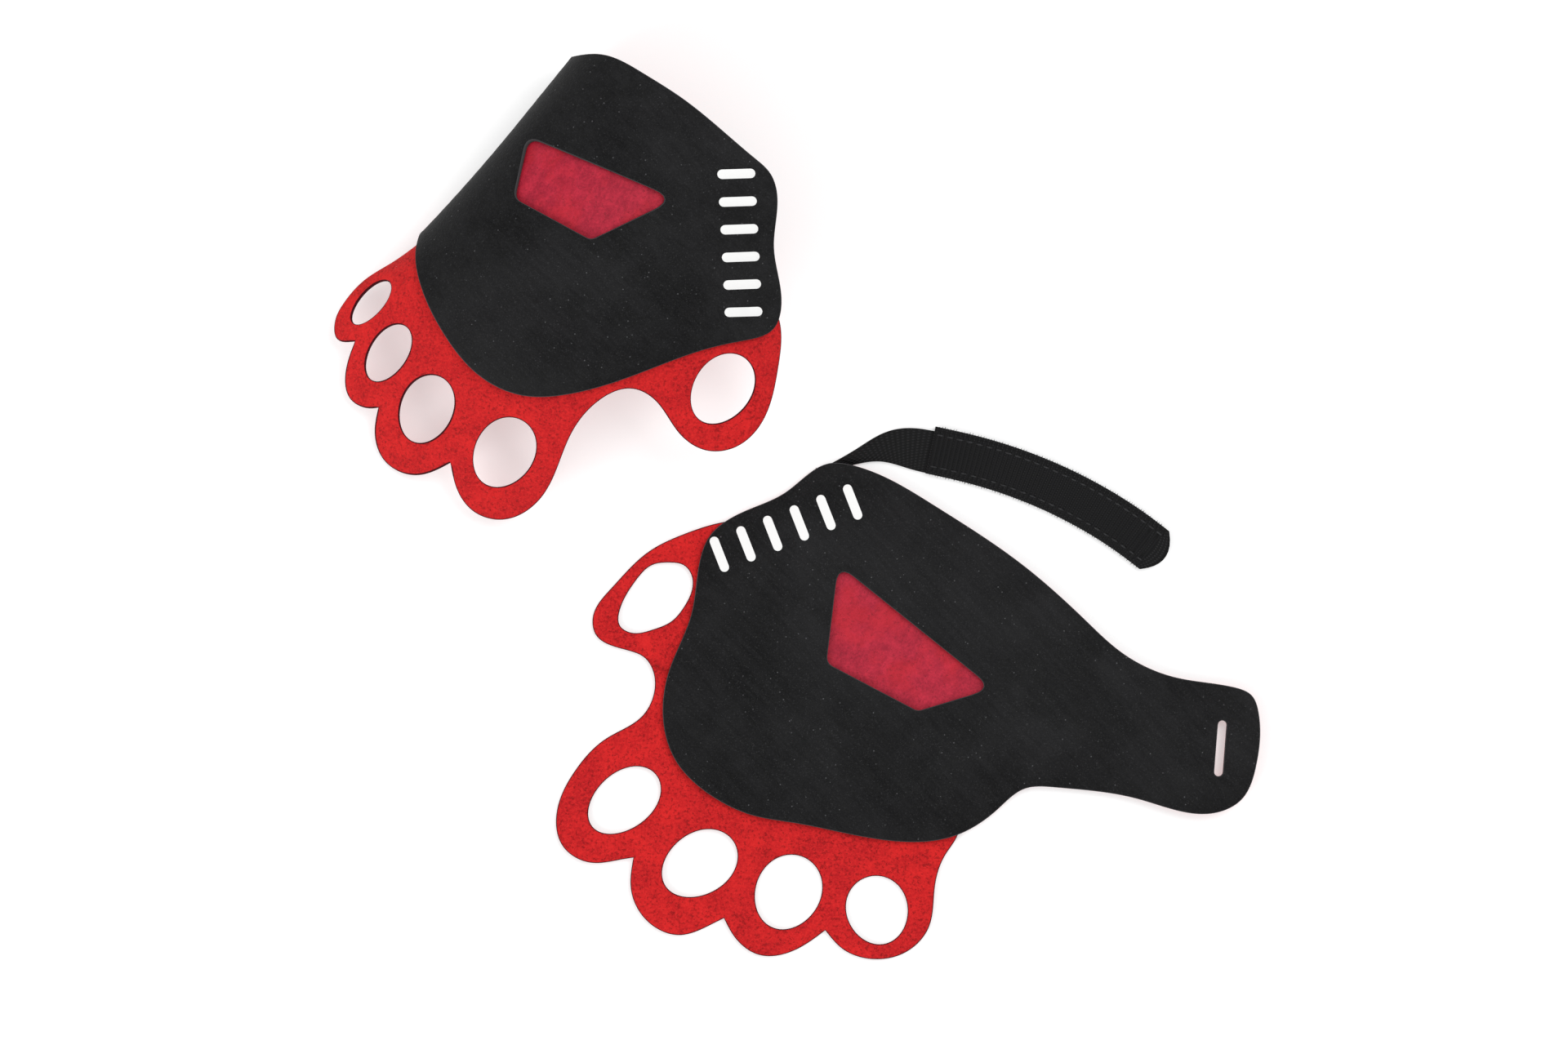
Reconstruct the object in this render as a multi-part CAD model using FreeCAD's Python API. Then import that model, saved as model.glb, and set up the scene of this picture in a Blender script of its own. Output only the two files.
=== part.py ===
import FreeCAD, Part
import math
import os

# A pair of crack-climbing hand grips.  Each grip is a thin back panel of rubber on suede:
# four finger loops and a thumb loop in front, a wrist wing with a punched slot on the
# little-finger side, and a webbing strap that comes from under the wrist's thumb corner.
# The left grip lies open and flat.  The right grip lies closed: its wing is folded under,
# and its strap runs through the wing's slot and doubles back inside the cuff.
#
# Hand coordinates (mm): u runs across the hand towards the thumb, v runs along the hand
# towards the wrist, and both start at the middle finger's hole.  The outlines below are a
# pattern in hand coordinates; PALM_WIDTH and PALM_LENGTH stretch the whole pattern.

os.makedirs("parts", exist_ok=True)
Vector = FreeCAD.Vector
UP = Vector(0, 0, 1)

# ---- driving sizes ---------------------------------------------------------------------
PALM_WIDTH = 123.0      # little-finger loop's edge to index loop's edge, laid flat
PALM_LENGTH = 163.0     # middle loop's tip to the wrist edge, laid flat
PATTERN_WIDTH = 123.0   # the size of hand that the pattern's points are drawn for
PATTERN_LENGTH = 163.0

SUEDE = 1.2             # micro-suede under everything, and alone in the loops
FILM = 0.1              # heat-bond film between suede and rubber
RUBBER = 1.6            # black panel
PRINT = 0.15            # raised white print
PRINT_SEAT = 0.02       # the print stands this far off a curved panel
WEBBING = 1.0           # strap's webbing
TAPE = 1.0              # woven tape sewn on the strap's tail
HOOKS = 1.0             # hook layer under the tape
STITCH_RISE = 0.15      # a stitch stands this far out of the tape
STITCH_LENGTH = 2.2
STITCH_WIDTH = 0.5
STITCH_PITCH = 3.2
STITCH_INSET = 2.6      # from the tape's edge to its stitch row

STRAP_WIDTH = 14.0      # webbing, laid flat
TAPE_WIDTH = 15.5       # tape and hooks, a little wider than the webbing
SLOT_LENGTH = TAPE_WIDTH + 2.5       # the tail passes with this much play along the slot
SLOT_WIDTH = TAPE + HOOKS + 0.8      # and across it

FLEX_GAP = 0.3          # between two panels that fold against each other
TABLE_GAP = 0.1         # the folded wing clears the table by this much, on its strap
SEAT_GAP = 0.3          # round the strap's sewn end in its pocket

MARK_COUNT = 6
MARK_LENGTH = 12.0      # plain white bars printed in a row beside the thumb
MARK_WIDTH = 3.0
WINDOW_CORNER = 3.5

# the closed strap
ANCHOR_DROP = 0.15      # play between the strap's sewn end and the film above it
FOOT_SHIFT = 0.5        # the strap's foot stands this far inside its pocket's mouth
EXIT_DROP = 0.9         # the webbing starts this far under the film
KNEE_REACH = 3.6        # from the pocket's mouth to the bend where the strap turns down
KNEE_RADIUS = 3.2
WEBBING_DROP = 24.0     # webbing below that bend, before the tape starts
CUFF_RADIUS = 8.0       # the strap's bends inside the cuff
SLOT_RADIUS = 2.0       # its bend up through the slot
TURN_RADIUS = 2.2       # and back
TAIL_PLAY = 0.2         # the tail's flat stretch clears the wing's curled end by this much
STRAP_PLAY = 0.4        # between the tail's hooks and the strap beside them
TAIL_REACH = 20.0       # its last stretch, back up beside the strap

# where each grip lies: the middle finger's hole, and the direction from fingers to wrist
LEFT = {"name": "left", "side": -1, "at": (-31.42, -114.25), "heading": 56.2}
RIGHT = {"name": "right", "side": 1, "at": (-118.82, 32.05), "heading": 51.0}

# ---- the open grip's pattern (hand coordinates) ----------------------------------------
# A run is one smooth curve; it ends where the next run starts, and that point is a corner.
OPEN_PANEL = [
    [(30, 134.3), (2, 138), (-32, 138), (-59.5, 134.4), (-76, 132.2), (-94.5, 135.4),
     (-111, 142.9), (-117.5, 144), (-122.5, 140.5), (-131, 126.5), (-133.3, 114),
     (-129, 106.3), (-106, 96), (-81.5, 84.2), (-73.5, 78.3), (-70, 68), (-62.7, 52.5),
     (-46.8, 40.3), (-17.3, 27.6), (-5.5, 22.5), (5.3, 20.5), (15, 20.7), (24.3, 23.1),
     (34.9, 31.3), (42.8, 46.5), (46.9, 65.3), (54.8, 82.8), (56, 88.5), (50.8, 103),
     (43.5, 115), (37, 130.5)],
]
OPEN_LOOPS = [
    [(44, 104), (54.5, 96.1), (62.9, 86), (69.5, 74.6), (73, 58), (72.8, 47), (69.2, 42.9),
     (56.7, 44.5), (51.6, 45.3), (46.9, 43.2), (42, 35), (41.8, 29.4), (47.4, 16.9),
     (50, 2.8), (47.4, -11.9), (40, -19.7), (29.7, -19.4), (21.4, -12.6)],
    [(18.8, -10.2), (13.9, -19), (4.4, -24.6), (-7.3, -22.8), (-14.3, -13.7)],
    [(-16.3, -10.2), (-22.1, -13.2), (-32.1, -13.8), (-40.4, -7)],
    [(-45.6, 4.7), (-53.6, 2.8), (-62.8, 5.1), (-71.3, 13.7), (-72.8, 24), (-67.4, 35.5),
     (-64.2, 47), (-63.8, 54.5)],
    [(-55, 62)],
]
# finger holes: centre u, v, length, width, and the long axis's lean from v towards u
OPEN_HOLES = {
    "thumb": (59.3, 63.3, 27.3, 16.5, -12.6),
    "index": (31.5, 3.4, 26.4, 17.9, -16.9),
    "middle": (0.0, 0.0, 26.1, 19.7, -22.6),
    "ring": (-28.8, 8.2, 24.7, 20.9, 8.0),
    "little": (-55.9, 19.4, 22.2, 19.7, 48.0),
}
OPEN_WINDOW = [(16.5, 105), (-47, 99.5), (-31, 80), (2, 76.5)]
OPEN_MARKS = ((51, 85.2), (23, 125.5))
OPEN_SLOT = (-118.6, 124.2, 29.2)          # centre u, v, and lean
WING_FLEX_U = -62.0                        # the wing bends along this line
WING_ROOT_V = 49.5                         # which starts here
THUMB_FLEX = ((58.7, 92.9), (41.0, 47.5))  # the thumb loop bends along this line
THUMB_WEB = (53.0, 42.9)                   # and is cut free to this point of the web
FLAP_REACH = 80.0                          # longer than the thumb loop, for its cutter

# the open strap: the webbing's far and near edges, then the tape's far edge.  The webbing
# lies part-rolled on its edge at the root, so its plan is narrower than STRAP_WIDTH there.
STRAP_MOUTH = ((36.3, 131.2), (30.4, 134.2))
STRAP_ROOT = ((28.5, 122), (38.5, 121))
MOUTH_RUNOUT = 2.0          # the pocket is cut this far past its mouth
STRAP_FAR = [(36.3, 131.2), (32.5, 138.9), (27.2, 149.4), (21, 154.9), (14.6, 158)]
STRAP_NEAR = [(30.4, 134.2), (24, 139.9), (13.5, 143.7), (9.9, 145)]
TAPE_FAR = [(15.2, 159.4), (1.8, 164.5), (-37.4, 173.1), (-58, 173.7), (-66.1, 173.2)]
TIP_BULGE = 4.2             # how far the tail's end is cut round

# ---- the closed grip, as seen from above (hand coordinates) ----------------------------
CLOSED_PANEL = [
    [(-45, 113), (-32.7, 117.2), (-26.7, 122.8), (-12.5, 126.6), (2.5, 128.2), (31.4, 128),
     (38.3, 127.4), (43.2, 124.5), (53.7, 110.1), (67.6, 96.6), (69.9, 90), (64.6, 80.3),
     (57.7, 71.3), (47.2, 53.7), (31.8, 31.4), (21.7, 22.9), (7.8, 19.1), (-10.5, 22.5),
     (-26.3, 30.4), (-33.4, 37.5), (-36.5, 45)],
    [(-45, 47)],
]
CLOSED_LOOPS = [
    [(-30, 60), (-35.2, 41), (-38.4, 29.8), (-41.9, 19.9), (-42.6, 9.5), (-41, 2.9),
     (-37.1, -0.7)],
    [(-31.9, 2.5), (-28.7, -6.4), (-21.5, -13.1), (-14.4, -11.1)],
    [(-12.7, -9.4), (-8.8, -16.4), (-0.4, -21.7), (10.2, -18.9)],
    [(16.7, -8.6), (24, -14.2), (32, -16.2), (41.5, -12), (46.5, 1), (41.6, 22.1),
     (41.5, 36), (48, 46.8), (55.6, 48.3), (68.5, 44.9), (78, 46), (85.1, 53.3), (86.7, 62),
     (79.5, 81.2), (70.4, 93.1)],
    [(60, 98)],
]
CLOSED_HOLES = {
    "thumb": (70.0, 64.6, 24.3, 18.1, -2.9),
    "index": (28.3, 4.9, 23.6, 18.9, -4.9),
    "middle": (0.0, 0.0, 22.5, 16.9, -13.8),
    "ring": (-20.9, 6.3, 20.4, 12.1, -4.7),
    "little": (-35.5, 15.4, 17.5, 7.8, 2.6),
}
CLOSED_WINDOW = [(20.5, 102), (-28, 88), (-19, 70), (8, 75)]
CLOSED_MARKS = ((29, 121.5), (60, 86.8))
CLOSED_WING = [
    [(-45, 40), (-34.8, 44.5), (-29.5, 60), (-28, 67), (-20, 74), (-10, 78.5), (4, 83),
     (18, 87), (26, 90.5), (30, 98), (31, 108), (29, 119), (23, 124.5), (14, 124),
     (0, 121), (-12, 118.5), (-24, 117), (-32.7, 117.2)],
    [(-45, 118)],
]
CLOSED_SLOT_U = 14.5
CLOSED_STRAP_V = 110.0      # the strap's middle line
CLOSED_EXIT_U = 37.0        # where the strap leaves its pocket under the rubber
POCKET_LENGTH = 12.4        # the strap's sewn end
POCKET_RUNOUT = 6.0         # the pocket runs out past the rubber's edge

# ---- the closed grip's form ------------------------------------------------------------
CUFF_START = 90.0           # wristward of here the cuff is a plain tube
CUFF_HEIGHT = 45.0          # crown of the cuff, at the face between suede and rubber
CUFF_MIDDLE = 20.0          # height where the little-finger side stands upright
CROWN_U = 9.0
SIDE_U = -33.0
FOLD_DEPTH = 13.0           # from the upright side to where the wing lies down
WING_RISE = 0.0020          # the wing curls up off the table: rise per length squared
CROWN_DROOP = 0.00338       # forward of the cuff the form sinks: per length squared
MIDDLE_DROOP = 0.0042
CROWN_DRIFT = 0.0011
SPREAD_START = 45.0         # forward of here the little-finger side springs open
SPREAD = 12.0
SLOPE_LOOP = 0.25           # the thumb side's slope at the loops
SLOPE_CUFF = 0.50           # and at the cuff, where the strap pulls it down
SLOPE_BLEND = 40.0
SHOULDER = 25.0             # how far the crown takes to turn into that slope
THUMB_REACH = 84.0          # the form is drawn this far past the crown, then trimmed
WING_REACH = 60.0           # and this far past the fold
BACK_STATIONS = [-32, -14, 4, 20, 34, 48, 62, 76, 90, 101, 112, 124, 136]
WING_STATIONS = [38, 50, 62, 76, 90, 101, 112, 124, 136]
BACK_GIRTHS = [-1 + step / 7 for step in range(15)]
FOLD_SPLIT = 0.02           # the back and the wing are parted by this share of the fold
WING_GIRTHS = [1 + FOLD_SPLIT] + [1 + step / 10 for step in range(1, 21)]
WING_BED = TABLE_GAP + RUBBER + FILM    # height of the folded wing's bonded face
SKY = 120.0                 # taller than anything here, for cutters

wide = PALM_WIDTH / PATTERN_WIDTH
long = PALM_LENGTH / PATTERN_LENGTH


# ---- plan outlines ---------------------------------------------------------------------
def spot(grip, u, v, z=0.0):
    """A point of the pattern, in the grip's own frame."""
    return Vector(grip["side"] * u * wide, v * long, z)


def spline(points):
    curve = Part.BSplineCurve()
    curve.interpolate(points)
    return curve.toShape()


def run_edge(points):
    if len(points) == 2:
        return Part.makeLine(points[0], points[1])
    return spline(points)


def outline(grip, runs):
    """A closed wire through the runs; a single run closes smoothly on itself."""
    if len(runs) == 1:
        curve = Part.BSplineCurve()
        curve.interpolate(Points=[spot(grip, u, v) for u, v in runs[0]], PeriodicFlag=True)
        return Part.Wire(curve.toShape())
    edges = []
    for number, run in enumerate(runs):
        following = runs[(number + 1) % len(runs)][0]
        edges.append(run_edge([spot(grip, u, v) for u, v in run + [following]]))
    return Part.Wire(edges)


def prism(wire, low, high):
    face = Part.Face(wire)
    face.translate(Vector(0, 0, low))
    return face.extrude(Vector(0, 0, high - low))


def oval(grip, hole, low, high):
    """A finger hole's cutter."""
    u, v, length, width, lean = hole
    ellipse = Part.Ellipse(Vector(0, 0, 0), length / 2, width / 2)
    wire = Part.Wire(ellipse.toShape())
    wire.rotate(Vector(0, 0, 0), UP, 90 - grip["side"] * lean)
    wire.translate(spot(grip, u, v))
    return prism(wire, low, high)


def bar(length, width, middle, angle, low, high):
    """A bar with round ends, lying at an angle from local X."""
    radius = width / 2
    half = length / 2 - radius
    ends = [Vector(-half, -radius, 0), Vector(half, -radius, 0),
            Vector(half, radius, 0), Vector(-half, radius, 0)]
    right = Part.Arc(ends[1], Vector(half + radius, 0, 0), ends[2]).toShape()
    left = Part.Arc(ends[3], Vector(-half - radius, 0, 0), ends[0]).toShape()
    wire = Part.Wire([Part.makeLine(ends[0], ends[1]), right,
                      Part.makeLine(ends[2], ends[3]), left])
    wire.rotate(Vector(0, 0, 0), UP, angle)
    wire.translate(middle)
    return prism(wire, low, high)


def window(grip, corners, low, high):
    """The plain cut-out in the rubber, with its corners rounded."""
    points = [spot(grip, u, v) for u, v in corners]
    solid = prism(Part.makePolygon(points + points[:1]), low, high)
    upright = [edge for edge in solid.Edges if abs(edge.tangentAt(edge.FirstParameter).z) > 0.9]
    return solid.makeFillet(WINDOW_CORNER, upright)


def marks(grip, ends, low, high):
    """The cutters of the printed bars, set in a row between two points."""
    first, last = (spot(grip, u, v) for u, v in ends)
    row = last.sub(first)
    angle = math.degrees(math.atan2(row.y, row.x)) + 90
    step = (row.Length - MARK_WIDTH) / (MARK_COUNT - 1)
    ahead = Vector(row).normalize()
    bars = []
    for number in range(MARK_COUNT):
        middle = first + ahead * (MARK_WIDTH / 2 + number * step)
        bars.append(bar(MARK_LENGTH, MARK_WIDTH, middle, angle, low, high))
    return bars


def cut_all(shape, cutters):
    for cutter in cutters:
        shape = shape.cut(cutter)
    return shape


def save(grip, node, shape):
    """Turns a shape from the grip's own frame to the pair's, and writes its file."""
    solids = shape.Solids
    placed = Part.makeCompound(solids) if len(solids) > 1 else solids[0].copy()
    x, y = grip["at"]
    turn = FreeCAD.Rotation(UP, grip["heading"] - 90)
    placed.Placement = FreeCAD.Placement(Vector(x, y, 0), turn).multiply(placed.Placement)
    name = grip["name"] + "_" + node
    placed.exportStep("parts/" + name + ".step")
    box = placed.BoundBox
    print(f"{name:26s} {len(solids):3d} solids {placed.Volume:9.1f} mm3  "
          f"x {box.XMin:7.1f} {box.XMax:7.1f}  y {box.YMin:7.1f} {box.YMax:7.1f}  "
          f"z {box.ZMin:5.2f} {box.ZMax:5.2f}")


# ---- the open grip ---------------------------------------------------------------------
def wing_block(grip, gap):
    """A block over the wing, bounded by its bend line and by a short cut at its root."""
    near = spot(grip, WING_FLEX_U, WING_ROOT_V) + Vector(-grip["side"] * gap, gap, -SKY)
    low = near.x - SKY if grip["side"] > 0 else near.x
    return Part.makeBox(SKY, 2 * SKY, 2 * SKY, Vector(low, near.y, near.z))


def thumb_flap(grip, gap):
    """A block over the thumb loop, bounded by its bend line and by the cut to the web."""
    far, near = (spot(grip, u, v) for u, v in THUMB_FLEX)
    web = spot(grip, *THUMB_WEB)
    bend = (far - near).normalize()
    cut = (web - near).normalize()
    near = near + (bend + cut) * gap
    corners = [near, near + cut * FLAP_REACH, near + (cut + bend) * FLAP_REACH,
               near + bend * FLAP_REACH]
    return prism(Part.makePolygon(corners + corners[:1]), -SKY, SKY)


def open_panel_stack(grip):
    """Rubber, film and suede of the back and the wing, and the thumb loop."""
    top_of_film = SUEDE + FILM
    top = top_of_film + RUBBER
    panel = outline(grip, OPEN_PANEL)
    rubber = prism(panel, top_of_film, top)
    film = prism(panel, SUEDE, top_of_film)
    suede = prism(panel, 0, SUEDE).fuse(prism(outline(grip, OPEN_LOOPS), 0, SUEDE))
    suede = suede.removeSplitter()
    suede = cut_all(suede, [oval(grip, hole, -1, top) for hole in OPEN_HOLES.values()])

    rubber = rubber.cut(window(grip, OPEN_WINDOW, SUEDE, top + 1))
    u, v, lean = OPEN_SLOT
    slot = bar(SLOT_LENGTH, SLOT_WIDTH, spot(grip, u, v), 90 - grip["side"] * lean, -1, top + 1)
    taken = wing_block(grip, 0)
    kept = wing_block(grip, FLEX_GAP)

    mouth, root = ([spot(grip, u, v) for u, v in ends] for ends in (STRAP_MOUTH, STRAP_ROOT))
    outward = UP.cross(mouth[1] - mouth[0]).normalize() * -grip["side"]
    pocket = mouth + root
    run_out = [point + outward * MOUTH_RUNOUT for point in mouth]
    corners = run_out + mouth[1:] + root + mouth[:1]
    room = Part.Face(Part.makePolygon(corners + corners[:1])).makeOffset2D(SEAT_GAP)
    room.translate(Vector(0, 0, -1))
    suede = suede.cut(room.extrude(Vector(0, 0, 1 + SUEDE)))

    save(grip, "rubber_back", rubber.cut(taken))
    save(grip, "rubber_wing", rubber.common(kept).cut(slot))
    save(grip, "bond_film_back", film.cut(taken))
    save(grip, "bond_film_wing", film.common(kept).cut(slot))
    back = suede.cut(taken)
    save(grip, "suede_back", back.cut(thumb_flap(grip, 0)))
    save(grip, "suede_thumb_loop", back.common(thumb_flap(grip, FLEX_GAP)))
    save(grip, "suede_wing", suede.common(kept).cut(slot))
    save(grip, "print_marks", Part.makeCompound(marks(grip, OPEN_MARKS, top, top + PRINT)))
    save(grip, "strap_anchor", prism(Part.makePolygon(pocket + pocket[:1]), 0, WEBBING))


def alongside(points, distance):
    """Points beside the smooth curve through points, at a distance to its left."""
    curve = Part.BSplineCurve()
    curve.interpolate(points)
    moved = []
    for point in points:
        along = curve.tangent(curve.parameter(point))[0]
        moved.append(point + UP.cross(along) * distance)
    return moved


def strip(far, near, low, high, tip=None):
    """A strap piece between its far edge and its near edge, square-ended or with a tip."""
    end = Part.makeLine(far[-1], near[-1])
    if tip:
        end = Part.Arc(far[-1], tip, near[-1]).toShape()
    start = Part.makeLine(near[0], far[0])
    back = spline(list(reversed(near)))
    return prism(Part.Wire([spline(far), end, back, start]), low, high)


def stitch_row(curve, low):
    """Short stitches along an edge, one every STITCH_PITCH."""
    count = int(curve.Length // STITCH_PITCH)
    stitches = []
    for number in range(count):
        place = curve.getParameterByLength(curve.Length * (number + 0.5) / count)
        along = curve.tangentAt(place)
        angle = math.degrees(math.atan2(along.y, along.x))
        stitches.append(bar(STITCH_LENGTH, STITCH_WIDTH, curve.valueAt(place), angle,
                            low, low + STITCH_RISE))
    return stitches


def open_strap(grip):
    """The webbing from the wrist corner, and the tail of tape over hooks."""
    mouth = [spot(grip, u, v) for u, v in STRAP_MOUTH]
    along = mouth[1] - mouth[0]
    outward = UP.cross(along).normalize() * -grip["side"]
    corners = [mouth[0] - along, mouth[1] + along,
               mouth[1] + along + outward * FLEX_GAP, mouth[0] - along + outward * FLEX_GAP]
    sill = prism(Part.makePolygon(corners + corners[:1]), -1, WEBBING + 1)
    far, near = ([spot(grip, u, v) for u, v in edge] for edge in (STRAP_FAR, STRAP_NEAR))
    webbing = strip(far, near, 0, WEBBING).cut(sill)

    far = [spot(grip, u, v) for u, v in TAPE_FAR]
    rows = [alongside(far, grip["side"] * inset)
            for inset in (TAPE_WIDTH, STITCH_INSET, TAPE_WIDTH - STITCH_INSET)]
    near = rows.pop(0)
    tip = (far[-1] + near[-1]) / 2 + (far[-1] - far[-2]).normalize() * TIP_BULGE
    hooks = strip(far, near, 0, HOOKS, tip)
    tape = strip(far, near, HOOKS, HOOKS + TAPE, tip)
    save(grip, "strap_webbing", webbing.cut(hooks.makeOffsetShape(FLEX_GAP, 0.01)))
    save(grip, "strap_hooks", hooks)
    save(grip, "strap_tape", tape)
    stitches = [s for row in rows for s in stitch_row(spline(row), HOOKS + TAPE)]
    save(grip, "strap_stitching", Part.makeCompound(stitches))


# ---- the closed grip's form ------------------------------------------------------------
def cross_section(v):
    """The sizes of the closed form's cross-section at v, in the grip's own frame."""
    forward = max(0.0, CUFF_START * long - v)
    spread = min(1.0, max(0.0, SPREAD_START * long - v) / (SPREAD_START * long))
    slope_share = max(0.0, 1 - forward / SLOPE_BLEND) ** 2
    return {
        "crown": CROWN_U * wide + CROWN_DRIFT * forward ** 2,
        "height": CUFF_HEIGHT - CROWN_DROOP * forward ** 2,
        "side": (SIDE_U * wide - CROWN_DRIFT * forward ** 2
                 - SPREAD * math.sin(spread * math.pi / 2) ** 2),
        "middle": CUFF_MIDDLE - MIDDLE_DROOP * forward ** 2,
        "slope": SLOPE_LOOP + (SLOPE_CUFF - SLOPE_LOOP) * slope_share,
    }


def skin(grip, v, girth, lift):
    """A point of the closed form, lift outside the face between suede and rubber.

    Girth runs round the form: -1 at the thumb's edge, 0 on the crown, 1 where the
    little-finger side stands upright, 2 where the wing lies down, 3 past its tip.
    """
    form = cross_section(v)
    if girth <= 0:
        x = -girth * THUMB_REACH * wide
        root = math.hypot(x, SHOULDER)
        point = (form["crown"] + x, form["height"] - form["slope"] * (root - SHOULDER))
        ahead = (-1.0, form["slope"] * x / root)
    elif girth <= 1:
        angle = girth * math.pi / 2
        across = form["crown"] - form["side"]
        rise = form["height"] - form["middle"]
        point = (form["crown"] - across * math.sin(angle), form["middle"] + rise * math.cos(angle))
        ahead = (-across * math.cos(angle), -rise * math.sin(angle))
    elif girth <= 2:
        angle = (girth - 1) * math.pi / 2
        rise = form["middle"] - WING_BED
        point = (form["side"] + FOLD_DEPTH * (1 - math.cos(angle)),
                 form["middle"] - rise * math.sin(angle))
        ahead = (FOLD_DEPTH * math.sin(angle), -rise * math.cos(angle))
    else:
        x = (girth - 2) * WING_REACH * wide
        point = (form["side"] + FOLD_DEPTH + x, WING_BED + WING_RISE * x * x)
        ahead = (1.0, 2 * WING_RISE * x)
    size = math.hypot(*ahead)
    return Vector(grip["side"] * (point[0] + lift * ahead[1] / size), v,
                  point[1] - lift * ahead[0] / size)


def layer(grip, stations, girths, inner, outer):
    """One layer of the closed form, between two distances from the bonded face."""
    sections = []
    for v in stations:
        low = [skin(grip, v * long, girth, inner) for girth in girths]
        high = [skin(grip, v * long, girth, outer) for girth in girths]
        sections.append(Part.Wire([spline(low), Part.makeLine(low[-1], high[-1]),
                                   spline(high), Part.makeLine(high[0], low[0])]))
    return Part.makeLoft(sections, True, False, False)


def closed_panel_stack(grip):
    """Rubber, film and suede of the closed back and of the wing folded under it."""
    panel = prism(outline(grip, CLOSED_PANEL), -SKY, SKY)
    loops = prism(outline(grip, CLOSED_LOOPS), -SKY, SKY)
    wing = prism(outline(grip, CLOSED_WING), -SKY, SKY)
    middle = spot(grip, CLOSED_SLOT_U, CLOSED_STRAP_V)
    slot = bar(SLOT_LENGTH, SLOT_WIDTH, middle, 90, -SKY, SKY)
    holes = [oval(grip, hole, -SKY, SKY) for hole in CLOSED_HOLES.values()]

    def back_layer(inner, outer):
        return layer(grip, BACK_STATIONS, BACK_GIRTHS, inner, outer)

    def wing_layer(inner, outer):
        return layer(grip, WING_STATIONS, WING_GIRTHS, inner, outer)

    rubber = back_layer(FILM, FILM + RUBBER).common(panel)
    save(grip, "rubber_back", rubber.cut(window(grip, CLOSED_WINDOW, 0, SKY)))
    save(grip, "bond_film_back", back_layer(0, FILM).common(panel))
    suede = back_layer(-SUEDE, 0)
    suede = suede.common(panel.fuse(loops))
    exit_x = CLOSED_EXIT_U * wide
    pocket_low = exit_x - POCKET_LENGTH
    half = STRAP_WIDTH / 2
    room = Part.makeBox(POCKET_LENGTH + POCKET_RUNOUT, STRAP_WIDTH + 2 * SEAT_GAP, SKY,
                        Vector(pocket_low - SEAT_GAP, middle.y - half - SEAT_GAP, 0))
    save(grip, "suede_back", cut_all(suede, holes + [room]))
    seat = Part.makeBox(POCKET_LENGTH - SEAT_GAP, STRAP_WIDTH, SKY,
                        Vector(pocket_low, middle.y - half, 0))
    anchor = back_layer(-ANCHOR_DROP - WEBBING, -ANCHOR_DROP)
    save(grip, "strap_anchor", anchor.common(seat))
    face = FILM + RUBBER + PRINT_SEAT
    printed = back_layer(face, face + PRINT)
    bars = [printed.common(mark) for mark in marks(grip, CLOSED_MARKS, 0, SKY)]
    save(grip, "print_marks", Part.makeCompound(bars))

    save(grip, "rubber_wing", wing_layer(FILM, FILM + RUBBER).common(wing).cut(slot))
    save(grip, "bond_film_wing", wing_layer(0, FILM).common(wing).cut(slot))
    save(grip, "suede_wing", wing_layer(-SUEDE, 0).common(wing).cut(slot))


# ---- the closed strap ------------------------------------------------------------------
def lane(corners, radii, shift):
    """Edges of a path of straight runs and arcs, moved sideways; corners are (x, z)."""
    edges = []
    start = None
    for number in range(len(corners)):
        here = corners[number]
        if 0 < number < len(corners) - 1:
            before = unit(corners[number - 1], here)
            after = unit(here, corners[number + 1])
            turn = math.atan2(before[0] * after[1] - before[1] * after[0],
                              before[0] * after[0] + before[1] * after[1])
            radius = radii[number - 1]
            reach = radius * math.tan(abs(turn) / 2)
            side = math.copysign(1.0, turn)
            centre = (here[0] - before[0] * reach - before[1] * radius * side,
                      here[1] - before[1] * reach + before[0] * radius * side)
            begin = beside(here, before, -reach, shift)
            finish = beside(here, after, reach, shift)
            out = unit(centre, here)
            bulge = (centre[0] + out[0] * (radius - side * shift),
                     centre[1] + out[1] * (radius - side * shift))
            edges.append(Part.makeLine(start, upright(begin)))
            edges.append(Part.Arc(upright(begin), upright(bulge), upright(finish)).toShape())
            start = upright(finish)
        elif number == 0:
            start = upright(beside(here, unit(here, corners[1]), 0, shift))
        else:
            end = upright(beside(here, unit(corners[number - 1], here), 0, shift))
            edges.append(Part.makeLine(start, end))
    return edges


def unit(start, end):
    size = math.hypot(end[0] - start[0], end[1] - start[1])
    return ((end[0] - start[0]) / size, (end[1] - start[1]) / size)


def beside(point, heading, along, shift):
    """A point along a heading, moved to its left by shift."""
    return (point[0] + heading[0] * along - heading[1] * shift,
            point[1] + heading[1] * along + heading[0] * shift)


def upright(point):
    return Vector(point[0], 0, point[1])


def ribbon(corners, radii, right, left, width, v):
    """A strap layer between two distances to the left of a path, as wide as the strap."""
    first = lane(corners, radii, right)
    second = lane(corners, radii, left)
    wire = Part.Wire(Part.sortEdges(
        first + second
        + [Part.makeLine(first[0].Vertexes[0].Point, second[0].Vertexes[0].Point),
           Part.makeLine(first[-1].Vertexes[-1].Point, second[-1].Vertexes[-1].Point)])[0])
    face = Part.Face(wire)
    face.translate(Vector(0, v - width / 2, 0))
    return face.extrude(Vector(0, width, 0))


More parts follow.
